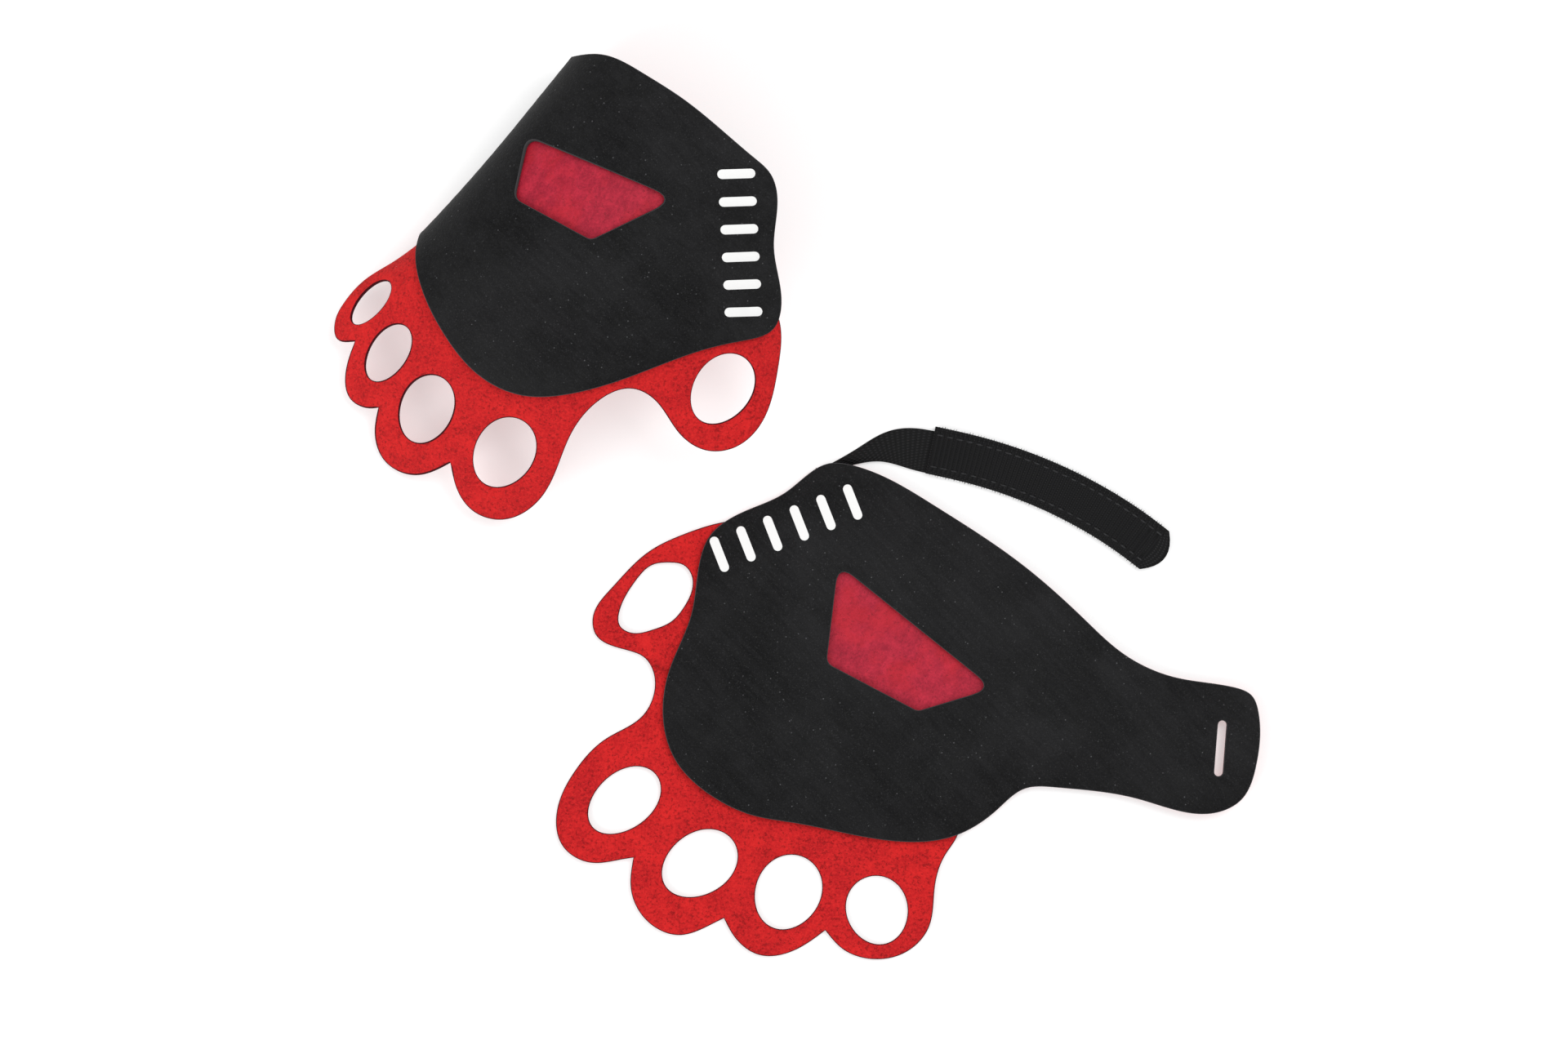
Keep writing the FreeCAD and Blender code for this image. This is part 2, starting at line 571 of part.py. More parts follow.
def closed_strap(grip):
    """The strap of the closed grip, down from its pocket, through the slot and back."""
    v = CLOSED_STRAP_V * long
    exit_x = CLOSED_EXIT_U * wide
    girth = -(exit_x - cross_section(v)["crown"]) / (THUMB_REACH * wide)
    leave = skin(grip, v, girth, -EXIT_DROP)
    beyond = skin(grip, v, girth - 0.01, -EXIT_DROP)
    ahead = unit((leave.x, leave.z), (beyond.x, beyond.z))
    slot = CLOSED_SLOT_U * wide
    knee = (leave.x + ahead[0] * KNEE_REACH, leave.z + ahead[1] * KNEE_REACH)
    foot = (leave.x - FOOT_SHIFT, TAPE)
    fall = unit(knee, foot)
    join = (knee[0] + fall[0] * WEBBING_DROP, knee[1] + fall[1] * WEBBING_DROP)
    start = (leave.x + ahead[0] * SEAT_GAP, leave.z + ahead[1] * SEAT_GAP)
    webbing = ribbon([start, knee, join], [KNEE_RADIUS], -WEBBING, 0, STRAP_WIDTH, v)
    save(grip, "strap_webbing", webbing)

    wing_end = max(u for u, _ in CLOSED_WING[0]) * wide
    curled = wing_end - cross_section(v)["side"] - FOLD_DEPTH
    tail_level = WING_BED + WING_RISE * curled ** 2 + SUEDE + TAIL_PLAY + HOOKS
    climb = unit(foot, knee)
    turn_up = beside(foot, climb, (tail_level - TAPE) / climb[1], 2 * HOOKS + STRAP_PLAY)
    tip = beside(turn_up, climb, TAIL_REACH, 0)
    after_join = (join[0] + fall[0] * SEAT_GAP, join[1] + fall[1] * SEAT_GAP)
    path = [after_join, foot, (slot, TAPE), (slot, tail_level), turn_up, tip]
    radii = [CUFF_RADIUS, SLOT_RADIUS, TURN_RADIUS, CUFF_RADIUS]
    save(grip, "strap_tape", ribbon(path, radii, 0, TAPE, TAPE_WIDTH, v))
    save(grip, "strap_hooks", ribbon(path, radii, -HOOKS, 0, TAPE_WIDTH, v))


open_panel_stack(LEFT)
open_strap(LEFT)
closed_panel_stack(RIGHT)
closed_strap(RIGHT)
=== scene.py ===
# %% [markdown]
# # A pair of climbing hand grips
# A climber pulls these open-finger grips over the backs of the hands before jamming them
# into rock.  Each one is a red micro-suede sheet with five punched loops, a black rubber
# panel bonded over it, and a short strap that closes the wrist.  One grip lies open and
# flat, the other lies closed, its cuff standing like a low arch.
#
# The frame holds a plain solid for every piece.  This lesson loads it, then cuts, bends,
# rounds and finishes each sheet again, in the same place and at the same size.

# %% Load the frame
import math
import bmesh
import bpy
import numpy as np
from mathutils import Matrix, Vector, geometry


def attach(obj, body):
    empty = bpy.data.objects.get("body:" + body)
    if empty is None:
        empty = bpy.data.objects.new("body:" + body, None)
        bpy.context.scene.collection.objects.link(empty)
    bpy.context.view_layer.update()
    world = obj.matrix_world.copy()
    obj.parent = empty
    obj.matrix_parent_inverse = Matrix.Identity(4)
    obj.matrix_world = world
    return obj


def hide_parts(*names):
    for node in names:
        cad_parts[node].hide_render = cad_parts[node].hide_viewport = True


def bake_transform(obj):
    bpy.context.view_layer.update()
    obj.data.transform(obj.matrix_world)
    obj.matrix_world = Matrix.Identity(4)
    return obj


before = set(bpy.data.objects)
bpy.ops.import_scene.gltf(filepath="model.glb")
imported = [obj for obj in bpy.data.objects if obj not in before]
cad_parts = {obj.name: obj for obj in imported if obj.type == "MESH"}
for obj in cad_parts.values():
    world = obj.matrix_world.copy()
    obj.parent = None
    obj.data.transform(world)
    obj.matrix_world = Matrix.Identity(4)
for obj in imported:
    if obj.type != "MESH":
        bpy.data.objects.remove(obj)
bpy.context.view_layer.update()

# %% [markdown]
# ## Where each grip lies
# A cutter thinks in hand coordinates: u runs across the hand towards the thumb and v runs
# from the middle finger's hole towards the wrist, in millimetres.  Both hands then share one
# way of drawing, and a side of -1 or +1 mirrors it.  A grip turns its own frame into the
# table's by one rotation and one shift.

# %% Small sums that every cell uses
MM = 0.001


def spin(angle):
    """The matrix that turns points anticlockwise about the origin."""
    return np.array([[math.cos(angle), -math.sin(angle)], [math.sin(angle), math.cos(angle)]])


def unit(vectors):
    """The same directions with length one."""
    return vectors / np.linalg.norm(vectors, axis=-1, keepdims=True)


def left_of(vectors):
    """Flat vectors after a quarter turn to their left."""
    return np.stack([-vectors[..., 1], vectors[..., 0]], axis=-1)


def lengths(points):
    """The distance along a path at each of its points."""
    return np.concatenate([[0], np.cumsum(np.linalg.norm(np.diff(points, axis=0), axis=1))])


def placed(name, data):
    """A new object in the scene, at the origin."""
    thing = bpy.data.objects.new(name, data)
    bpy.context.scene.collection.objects.link(thing)
    return thing


# %% The two grips


class Grip:
    """A hand side with its place on the table, in millimetres and degrees."""

    def __init__(self, name, side, at, heading):
        self.name = name
        self.side = side
        self.at = np.array(at)
        self.turn = spin(math.radians(heading - 90))

    def world(self, points):
        """Points of the grip's own frame, as metres on the table."""
        points = np.asarray(points, float)
        flat = points[:, :2] @ self.turn.T + self.at
        return np.column_stack([flat, points[:, 2]]) * MM

    def heading(self, directions):
        """Directions of the grip's own frame, turned the same way."""
        directions = np.asarray(directions, float)
        return np.column_stack([directions[:, :2] @ self.turn.T, directions[:, 2]])

    def spot(self, u, v, z=0.0):
        """One hand coordinate as a place on the table."""
        return tuple(float(value) for value in self.world([[self.side * u, v, z]])[0])


LEFT = Grip("left", -1, (-31.42, -114.25), 56.2)
RIGHT = Grip("right", 1, (-118.82, 32.05), 51.0)
print("left middle finger at", LEFT.spot(0, 0), "right at", RIGHT.spot(0, 0))

# %% [markdown]
# ## The pattern
# Every outline is a short list of points that a smooth curve passes through, as on a paper
# pattern.  A run is one smooth curve; where two runs meet there is a corner, such as the
# notch between two finger loops.  The open pattern is drawn flat.  The closed one is drawn
# as it looks from above, because that is how its bent sheet is cut here.

# %% Outlines of the open grip
OPEN_PANEL = [
    [(30, 134.3), (2, 138), (-32, 138), (-59.5, 134.4), (-76, 132.2), (-94.5, 135.4),
     (-111, 142.9), (-117.5, 144), (-122.5, 140.5), (-131, 126.5), (-133.3, 114),
     (-129, 106.3), (-106, 96), (-81.5, 84.2), (-73.5, 78.3), (-70, 68), (-62.7, 52.5),
     (-46.8, 40.3), (-17.3, 27.6), (-5.5, 22.5), (5.3, 20.5), (15, 20.7), (24.3, 23.1),
     (34.9, 31.3), (42.8, 46.5), (46.9, 65.3), (54.8, 82.8), (56, 88.5), (50.8, 103),
     (43.5, 115), (37, 130.5)],
]
OPEN_LOOPS = [
    [(44, 104), (54.5, 96.1), (62.9, 86), (69.5, 74.6), (73, 58), (72.8, 47), (69.2, 42.9),
     (56.7, 44.5), (51.6, 45.3), (46.9, 43.2), (42, 35), (41.8, 29.4), (47.4, 16.9),
     (50, 2.8), (47.4, -11.9), (40, -19.7), (29.7, -19.4), (21.4, -12.6)],
    [(18.8, -10.2), (13.9, -19), (4.4, -24.6), (-7.3, -22.8), (-14.3, -13.7)],
    [(-16.3, -10.2), (-22.1, -13.2), (-32.1, -13.8), (-40.4, -7)],
    [(-45.6, 4.7), (-53.6, 2.8), (-62.8, 5.1), (-71.3, 13.7), (-72.8, 24), (-67.4, 35.5),
     (-64.2, 47), (-63.8, 54.5)],
    [(-55, 62)],
]
OPEN_THUMB_HOLE = [(66.2, 71.5), (62.1, 75.2), (57.5, 77.1), (53.6, 75.6), (51, 71.6),
                   (50.2, 66), (51, 59.8), (54.6, 54.2), (59.8, 49.6), (64, 49.5),
                   (66.9, 54), (67.8, 64)]
OPEN_HOLES = {
    "index": (31.5, 3.4, 26.4, 17.9, -16.9),
    "middle": (0.0, 0.0, 26.1, 19.7, -22.6),
    "ring": (-28.8, 8.2, 24.7, 20.9, 8.0),
    "little": (-55.9, 19.4, 22.2, 19.7, 48.0),
}
OPEN_WINDOW = [(16.5, 105), (-47, 99.5), (-31, 80), (2, 76.5)]
OPEN_MARKS = ((51, 85.2), (23, 125.5))
OPEN_SLOT = (-118.6, 124.2, 29.2)
THUMB_FLEX = ((58.7, 92.9), (41.0, 47.5))
WING_FLEX_U = -62.0
STRAP_FAR = [(36.3, 131.2), (32.5, 138.9), (27.2, 149.4), (21, 154.9), (14.6, 158)]
STRAP_NEAR = [(30.4, 134.2), (24, 139.9), (13.5, 143.7), (9.9, 145)]
TAPE_FAR = [(15.2, 159.4), (1.8, 164.5), (-37.4, 173.1), (-58, 173.7), (-66.1, 173.2)]

# %% Outlines of the closed grip
CLOSED_BACK_EDGE = [
    (-32.7, 117.2), (-26.7, 122.8), (-12.5, 126.6), (2.5, 128.2), (31.4, 128), (38.3, 127.4),
    (43.2, 124.5), (53.7, 110.1), (67.6, 96.6), (69.9, 90), (64.6, 80.3), (57.7, 71.3),
    (47.2, 53.7), (31.8, 31.4), (21.7, 22.9), (7.8, 19.1), (-10.5, 22.5), (-26.3, 30.4),
    (-33.4, 37.5), (-36.5, 45),
]
CLOSED_WING_EDGE = [
    (-34.8, 44.5), (-29.5, 60), (-28, 67), (-20, 74), (-10, 78.5), (4, 83), (18, 87),
    (26, 90.5), (30, 98), (31, 108), (29, 119), (23, 124.5), (14, 124), (0, 121),
    (-12, 118.5), (-24, 117), (-32.7, 117.2),
]
CLOSED_LOOPS = [
    [(-30, 60), (-35.2, 41), (-38.4, 29.8), (-41.9, 19.9), (-42.6, 9.5), (-41, 2.9),
     (-37.1, -0.7)],
    [(-31.9, 2.5), (-28.7, -6.4), (-21.5, -13.1), (-14.4, -11.1)],
    [(-12.7, -9.4), (-8.8, -16.4), (-0.4, -21.7), (10.2, -18.9)],
    [(16.7, -8.6), (24, -14.2), (32, -16.2), (41.5, -12), (46.5, 1), (41.6, 22.1),
     (41.5, 36), (48, 46.8), (55.6, 48.3), (68.5, 44.9), (78, 46), (85.1, 53.3), (86.7, 62),
     (79.5, 81.2), (70.4, 93.1)],
    [(60, 98)],
]
CLOSED_HOLES = {
    "thumb": (70.0, 64.6, 24.3, 18.1, -2.9),
    "index": (28.3, 4.9, 23.6, 18.9, -4.9),
    "middle": (0.0, 0.0, 22.5, 16.9, -13.8),
    "ring": (-20.9, 6.3, 20.4, 12.1, -4.7),
    "little": (-35.5, 15.4, 17.5, 7.8, 2.6),
}
CLOSED_WINDOW = [(20.5, 102), (-28, 88), (-19, 70), (8, 75)]
CLOSED_MARKS = ((29, 121.5), (60, 86.8))
CLOSED_SLOT_U = 14.5
CLOSED_STRAP_V = 110.0
print("panel points:", len(OPEN_PANEL[0]), "open and", len(CLOSED_BACK_EDGE), "closed")

# %% [markdown]
# ## From points to edges
# A drawing program would join the points with a spline, and so does this cell: a cubic
# spline whose parameter is the distance between points, which keeps long and short spans
# equally fair.  The edges come out as loops of points about a millimetre apart, fine enough
# that a punched hole looks round close up.

# %% Smooth runs, outlines, holes and bars
EDGE_STEP = 1.0


def smooth(points, closed=False, step=EDGE_STEP):
    """The cubic spline through the points, sampled about every step millimetres."""
    p = np.array(points, float)
    if closed:
        p = np.vstack([p, p[:1]])
    t = lengths(p)
    h = np.diff(t)
    slope = np.diff(p, axis=0) / h[:, None]
    rows = np.eye(len(t))
    right = np.zeros_like(p)
    for i in range(1, len(t) - 1):
        rows[i, i - 1:i + 2] = h[i - 1], 2 * (h[i - 1] + h[i]), h[i]
        right[i] = 6 * (slope[i] - slope[i - 1])
    if closed:
        rows[0, -1] = -1
        rows[-1, [0, 1, -2]] = 2 * h[0], h[0], h[-1]
        rows[-1, -1] = 2 * h[-1]
        right[-1] = 6 * (slope[0] - slope[-1])
    bend = np.linalg.solve(rows, right)
    s = np.linspace(0, t[-1], max(2, round(t[-1] / step)) + 1)
    k = np.clip(np.searchsorted(t, s, side="right") - 1, 0, len(h) - 1)
    low = ((s - t[k]) / h[k])[:, None]
    high = 1 - low
    size = (h[k] ** 2 / 6)[:, None]
    curve = high * p[k] + low * p[k + 1]
    curve += size * ((high ** 3 - high) * bend[k] + (low ** 3 - low) * bend[k + 1])
    return curve[:-1] if closed else curve


def outline(runs):
    """A closed loop of points through the runs, with a corner where two runs meet."""
    if len(runs) == 1:
        return smooth(runs[0], closed=True)
    pieces = []
    for number, run in enumerate(runs):
        following = runs[(number + 1) % len(runs)][0]
        pieces.append(smooth(run + [following])[:-1])
    return np.vstack(pieces)


def hole(centre_u, centre_v, length, width, lean, egg=0.05):
    """A punched finger hole: an oval, a little blunter at its wrist end."""
    angle = np.linspace(0, 2 * math.pi, 64, endpoint=False)
    along = length / 2 * np.cos(angle)
    across = width / 2 * np.sin(angle) * (1 + egg * np.cos(angle))
    lean = math.radians(lean)
    u = centre_u + along * math.sin(lean) + across * math.cos(lean)
    v = centre_v + along * math.cos(lean) - across * math.sin(lean)
    return np.column_stack([u, v])


def bar(length, width, middle, angle):
    """The outline of a bar with round ends, at an angle from u."""
    turns = np.radians(np.linspace(-90, 90, 9))
    cap = np.column_stack([np.cos(turns), np.sin(turns)]) * width / 2
    half = length / 2 - width / 2
    shape = np.vstack([cap + [half, 0], -cap - [half, 0]])
    return shape @ spin(angle).T + middle


def rounded(corners, radius):
    """A polygon with round corners, as a loop of points."""
    corners = np.array(corners, float)
    loop = []
    for i, corner in enumerate(corners):
        before = unit(corners[i - 1] - corner)
        after = unit(corners[(i + 1) % len(corners)] - corner)
        half = math.acos(float(before @ after)) / 2
        reach = radius / math.tan(half)
        for share in np.linspace(0, 1, 7):
            start, end = corner + before * reach, corner + after * reach
            loop.append((1 - share) ** 2 * start + 2 * share * (1 - share) * corner
                        + share ** 2 * end)
    return spaced(np.array(loop))


def spaced(loop, step=EDGE_STEP):
    """The same loop with extra points on its long straight stretches."""
    full = []
    for start, end in zip(loop, np.roll(loop, -1, axis=0)):
        count = max(1, round(float(np.linalg.norm(end - start)) / step))
        full += [start + (end - start) * share for share in np.arange(count) / count]
    return np.array(full)


def thinned(loop, shortest):
    """The same loop without the points that crowd together."""
    kept = [loop[0]]
    for point in loop[1:]:
        if np.linalg.norm(point - kept[-1]) > shortest:
            kept.append(point)
    return np.array(kept)


MARK_COUNT = 6
MARK_LENGTH = 12.0
MARK_WIDTH = 3.0


def marks(ends):
    """The outlines of the printed bars, set in a row between two points."""
    first, last = np.array(ends, float)
    row = last - first
    size = np.linalg.norm(row)
    angle = math.atan2(row[1], row[0]) + math.pi / 2
    step = (size - MARK_WIDTH) / (MARK_COUNT - 1)
    return [spaced(bar(MARK_LENGTH, MARK_WIDTH,
                       first + row / size * (MARK_WIDTH / 2 + number * step), angle))
            for number in range(MARK_COUNT)]


print("open panel edge:", len(outline(OPEN_PANEL)), "points")

# %% [markdown]
# ## Two forms
# A form says where a point of the cut sheet goes: sheet coordinates and a lift in, a place
# in the grip's own frame out.  The lift counts from the bonded face between suede and
# rubber, so suede lies below it, rubber above it, and the layers can never cross.
#
# The open grip is flat but not dead flat: rubber that has been worn keeps a lazy wave, and
# the end of its wing curls up a little.  The closed grip follows an arch over the back of
# the hand, turns under on the little-finger side and comes back along the table.

# %% The layers' thicknesses
SUEDE = 1.2
FILM = 0.1
RUBBER = 1.6
PRINT = 0.15

# %% The flat form
WAVE_HEIGHT = 0.45
RIPPLE_HEIGHT = 0.12
CURL_START = 78.0
CURL_LENGTH = 52.0
CURL_HEIGHT = 2.5


def wave(u, v):
    """Height of the open grip's lazy wave, never below the table."""
    low = WAVE_HEIGHT * (1 + np.sin(u / 21 + 0.6) * np.cos(v / 27 - 0.4))
    ripple = RIPPLE_HEIGHT * (1 + np.sin(u / 8.5 + v / 11.0))
    curl = np.clip((-u - CURL_START) / CURL_LENGTH, 0, 1)
    return low + ripple + CURL_HEIGHT * curl ** 2


def open_form(grip):
    def place(points, lift):
        u, v = points[:, 0], points[:, 1]
        return np.column_stack([grip.side * u, v, SUEDE + lift + wave(u, v)])
    return place


# %% The arched form
CUFF_START = 90.0
CUFF_HEIGHT = 45.0
CUFF_MIDDLE = 20.0
CROWN_U = 9.0
SIDE_U = -33.0
FOLD_DEPTH = 13.0
WING_RISE = 0.0020
CROWN_DROOP = 0.00338
MIDDLE_DROOP = 0.0042
CROWN_DRIFT = 0.0011
SPREAD_START = 45.0
SPREAD = 12.0
SLOPE_LOOP = 0.25
SLOPE_CUFF = 0.50
SLOPE_BLEND = 40.0
SHOULDER = 25.0
TABLE_GAP = 0.1
WING_BED = TABLE_GAP + RUBBER + FILM
ARCH_LENGTH = 53.0      # sheet from the crown to where the side stands upright
FOLD_LENGTH = 25.0      # and on to where the wing lies down


def section(v):
    """The arch's sizes at v."""
    forward = np.maximum(0.0, CUFF_START - v)
    spread = np.clip((SPREAD_START - v) / SPREAD_START, 0, 1)
    share = np.maximum(0.0, 1 - forward / SLOPE_BLEND) ** 2
    crown = CROWN_U + CROWN_DRIFT * forward ** 2
    height = CUFF_HEIGHT - CROWN_DROOP * forward ** 2
    side = SIDE_U - CROWN_DRIFT * forward ** 2 - SPREAD * np.sin(spread * math.pi / 2) ** 2
    middle = CUFF_MIDDLE - MIDDLE_DROOP * forward ** 2
    slope = SLOPE_LOOP + (SLOPE_CUFF - SLOPE_LOOP) * share
    return crown, height, side, middle, slope


def closed_form(grip):
    def place(points, lift):
        """Sheet coordinates are the way round the arch from its crown, and v."""
        s, v = points[:, 0], points[:, 1]
        crown, height, side, middle, slope = section(v)
        reach = np.maximum(0, -s)
        root = np.hypot(reach, SHOULDER)
        angle = np.clip(s / ARCH_LENGTH, 0, 1) * math.pi / 2
        fold = np.clip((s - ARCH_LENGTH) / FOLD_LENGTH, 0, 1) * math.pi / 2
        rest = np.maximum(0, s - ARCH_LENGTH - FOLD_LENGTH)
        top, under, lying = s <= 0, s > ARCH_LENGTH, s > ARCH_LENGTH + FOLD_LENGTH
        across = crown - side
        p = np.select([top, lying, under],
                      [crown + reach, side + FOLD_DEPTH + rest,
                       side + FOLD_DEPTH * (1 - np.cos(fold))],
                      crown - across * np.sin(angle))
        z = np.select([top, lying, under],
                      [height - slope * (root - SHOULDER), WING_BED + WING_RISE * rest ** 2,
                       middle - (middle - WING_BED) * np.sin(fold)],
                      middle + (height - middle) * np.cos(angle))
        along_p = np.select([top, lying, under],
                            [-1.0, 1.0, FOLD_DEPTH * np.sin(fold)],
                            -across * np.cos(angle))
        along_z = np.select([top, lying, under],
                            [slope * reach / root, 2 * WING_RISE * rest,
                             -(middle - WING_BED) * np.cos(fold)],
                            -(height - middle) * np.sin(angle))
        size = np.hypot(along_p, along_z)
        return np.column_stack([grip.side * (p + lift * along_z / size), v,
                                z - lift * along_p / size])
    return place


def wrap_back(loop):
    """An outline seen from above, carried onto the arch."""
    u, v = loop[:, 0], loop[:, 1]
    crown, _, side, _, _ = section(v)
    share = np.clip((crown - u) / (crown - side), 0, 1)
    s = np.where(u >= crown, crown - u, ARCH_LENGTH * np.arcsin(share) * 2 / math.pi)
    return np.column_stack([s, v])


def wrap_wing(loop):
    """An outline seen from above, carried onto the wing that is folded under."""
    u, v = loop[:, 0], loop[:, 1]
    side = section(v)[2]
    beyond = u - side - FOLD_DEPTH
    fold = np.arccos(np.clip(-beyond / FOLD_DEPTH, -1, 1)) * 2 / math.pi
    s = ARCH_LENGTH + np.where(beyond > 0, FOLD_LENGTH + beyond, FOLD_LENGTH * fold)
    return np.column_stack([s, v])


print("cuff crown at", CUFF_HEIGHT, "mm, finger edge at",
      float(section(np.array([-20.0]))[1][0]))

# %% [markdown]
# ## Cutting a sheet
# Die-cut leather has faces, and a thin wall where the knife went through, with its upper and
# lower corners worn round.  The cutter below takes closed loops, keeps what lies inside them,
# lays a grid of points inside, and joins all of it with a Delaunay triangulation, which makes
# even triangles round holes and notches.  Each sheet is then two such faces and a rounded
# wall.  A point attribute named cut marks the wall, so that a material can darken it.
#
# The grid matters: a sheet that bends across a hinge, or follows an arch, needs points
# inside it as well as along its edge.

# %% Loops, triangles and the sheet cutter
GRID = 3.0
ROUND_EDGE = 0.35
EDGE_TURN = 0.3         # share of the round edge where its wall's slope changes


def inside(points, loops):
    """Which points lie inside the loops, counting each crossing of an edge."""
    result = np.zeros(len(points), bool)
    x, y = points[:, 0], points[:, 1]
    for loop in loops:
        x0, y0 = loop[:, 0], loop[:, 1]
        x1, y1 = np.roll(x0, -1), np.roll(y0, -1)
        for k in range(len(loop)):
            if y0[k] != y1[k]:
                crosses = (y0[k] > y) != (y1[k] > y)
                reach = x0[k] + (y - y0[k]) / (y1[k] - y0[k]) * (x1[k] - x0[k])
                result ^= crosses & (x < reach)
    return result


def clockwise(loop):
    x, y = loop[:, 0], loop[:, 1]
    return float(np.sum(x * np.roll(y, -1) - y * np.roll(x, -1))) < 0


def turned(loop, want_clockwise):
    return loop if clockwise(loop) == want_clockwise else loop[::-1]


def moved_in(loop, distance):
    """The loop moved to its left, which is into the sheet."""
    return loop + left_of(unit(np.roll(loop, -1, axis=0) - np.roll(loop, 1, axis=0))) * distance


def ring_edges(loops):
    """Index pairs that join each loop's points into a ring."""
    edges = []
    start = 0
    for loop in loops:
        count = len(loop)
        edges += [(start + k, start + (k + 1) % count) for k in range(count)]
        start += count
    return edges


def combined(first, second, keep, shortest=0.4):
    """The longest edge loop of two overlapping loops; keep says which overlap stays."""
    points = [Vector(p) for p in np.vstack([first, second])]
    result = geometry.delaunay_2d_cdt(points, ring_edges([first, second]), [], 0, 1e-5)
    verts = np.array([tuple(v) for v in result[0]])
    faces = np.array(result[2])
    centres = verts[faces].mean(axis=1)
    faces = faces[keep(inside(centres, [first]), inside(centres, [second]))]
    sides = {(f[k], f[k - 2]) for f in faces for k in range(3)}
    border = {a: b for a, b in sides if (b, a) not in sides}
    longest = []
    while border:
        chain = [next(iter(border))]
        while chain[-1] in border:
            chain.append(border.pop(chain[-1]))
        longest = max(longest, chain[:-1], key=len)
    return thinned(verts[longest], shortest)


def both(one, other):
    return one | other


def common(one, other):
    return one & other


def without(one, other):
    return one & ~other


def triangles(loops, grid):
    """Triangles that fill the loops, with a grid of points inside.  Loops come first."""
    edge_points = np.vstack(loops)
    low, high = edge_points.min(axis=0), edge_points.max(axis=0)
    rows = np.arange(low[1], high[1], grid * math.sqrt(3) / 2)
    lattice = [(x + (grid / 2 if n % 2 else 0), y)
               for n, y in enumerate(rows) for x in np.arange(low[0], high[0], grid)]
    lattice = np.array(lattice)
    lattice = lattice[inside(lattice, loops)]
    gaps = np.array([np.min(np.sum((edge_points - p) ** 2, axis=1)) for p in lattice])
    lattice = lattice[gaps > (0.6 * grid) ** 2] if len(lattice) else lattice.reshape(0, 2)
    everything = np.vstack([edge_points, lattice])
    result = geometry.delaunay_2d_cdt([Vector(p) for p in everything], ring_edges(loops),
                                      [], 0, 1e-7)
    verts, faces, sources = result[0], np.array(result[2]), result[3]
    origin = np.array([source[0] if source else -1 for source in sources])
    if (origin < 0).any():
        print("   crossing edges:", int((origin < 0).sum()))
    faces = faces[(origin[faces] >= 0).all(axis=1)]
    faces = origin[faces]
    centres = everything[faces].mean(axis=1)
    return everything, faces[inside(centres, loops)]


def on_lines(points, lines):
    """Which points lie on any of the straight lines, given as pairs of ends."""
    result = np.zeros(len(points), bool)
    for start, end in lines:
        start, end = np.array(start, float), np.array(end, float)
        length = np.linalg.norm(end - start)
        ahead = (end - start) / length
        offset = points - start
        reach = offset @ ahead
        aside = np.abs(offset[:, 0] * ahead[1] - offset[:, 1] * ahead[0])
        result |= (aside < 0.05) & (reach > -0.1) & (reach < length + 0.1)
    return result


def sheet_mesh(name, outers, cuts, low, high, form, grip, grid=GRID, seams=()):
    """A sheet between two lifts of a form, cut to its loops, with a rounded wall.

    Along seams the wall stays square and undarkened, so that two pieces read as one sheet.
    """
    loops = [turned(loop, False) for loop in outers] + [turned(loop, True) for loop in cuts]
    edge = min(ROUND_EDGE, (high - low) * 0.45)
    turn = edge * EDGE_TURN
    free = [1.0 - on_lines(loop, seams)[:, None] for loop in loops]
    faces_loops = [moved_in(loop, edge * share) for loop, share in zip(loops, free)]
    flat, tris = triangles(faces_loops, grid)
    count = len(flat)
    rim = sum(len(loop) for loop in loops)
    inner = np.vstack([moved_in(loop, turn * share) for loop, share in zip(loops, free)])
    outer = np.vstack(loops)
    rings = [(inner, high - turn), (outer, high - edge), (outer, low + edge), (inner, low + turn)]
    points = [form(flat, high), form(flat, low)]
    points += [form(ring, lift) for ring, lift in rings]
    levels = [0, *(2 * count + number * rim for number in range(len(rings))), count]
    faces = [tuple(t) for t in tris] + [tuple(t[::-1] + count) for t in tris]
    start = 0
    for loop in loops:
        size = len(loop)
        for k in range(size):
            a, b = start + k, start + (k + 1) % size
            for upper, lower in zip(levels, levels[1:]):
                faces.append((upper + b, upper + a, lower + a, lower + b))
        start += size
    mesh = bpy.data.meshes.new(name)
    mesh.from_pydata(grip.world(np.vstack(points)).tolist(), [],
                     [tuple(int(i) for i in face) for face in faces])
    cut = np.zeros(len(mesh.vertices), np.float32)
    cut[2 * count:] = np.tile(np.vstack(free)[:, 0], len(rings))
    mesh.attributes.new("cut", "FLOAT", "POINT").data.foreach_set("value", cut)
    return finished(name, mesh)


def outward(mesh):
    """Turns a closed mesh's faces outwards and shades it smooth."""
    work = bmesh.new()
    work.from_mesh(mesh)
    bmesh.ops.recalc_face_normals(work, faces=work.faces)
    work.to_mesh(mesh)
    work.free()
    mesh.shade_smooth()


def finished(name, mesh):
    """An object around a closed mesh, smooth and facing outwards."""
    outward(mesh)
    print(f"{name}: {len(mesh.polygons)} faces")
    return placed(name, mesh)


def loop_area(loop):
    """Area inside a closed loop."""
    ahead = np.roll(loop, -1, axis=0)
    return abs(float(np.sum(loop[:, 0] * ahead[:, 1] - ahead[:, 0] * loop[:, 1]))) / 2


# %% [markdown]
# ## Shader sums
# Materials read better as sums than as boxes and wires.  A Field is one output socket that
# Python can add, subtract and multiply; each operator adds the Math node that does it.
# Every other node comes from Recipe.add, which takes the node's type, settings and inputs.

# %% Fields and recipes


def feed(tree, socket, value):
    """Links a socket to a field or an output, or else sets its own value."""
    value = value.socket if isinstance(value, Field) else value
    if isinstance(value, bpy.types.NodeSocket):
        tree.links.new(value, socket)
    else:
        socket.default_value = value


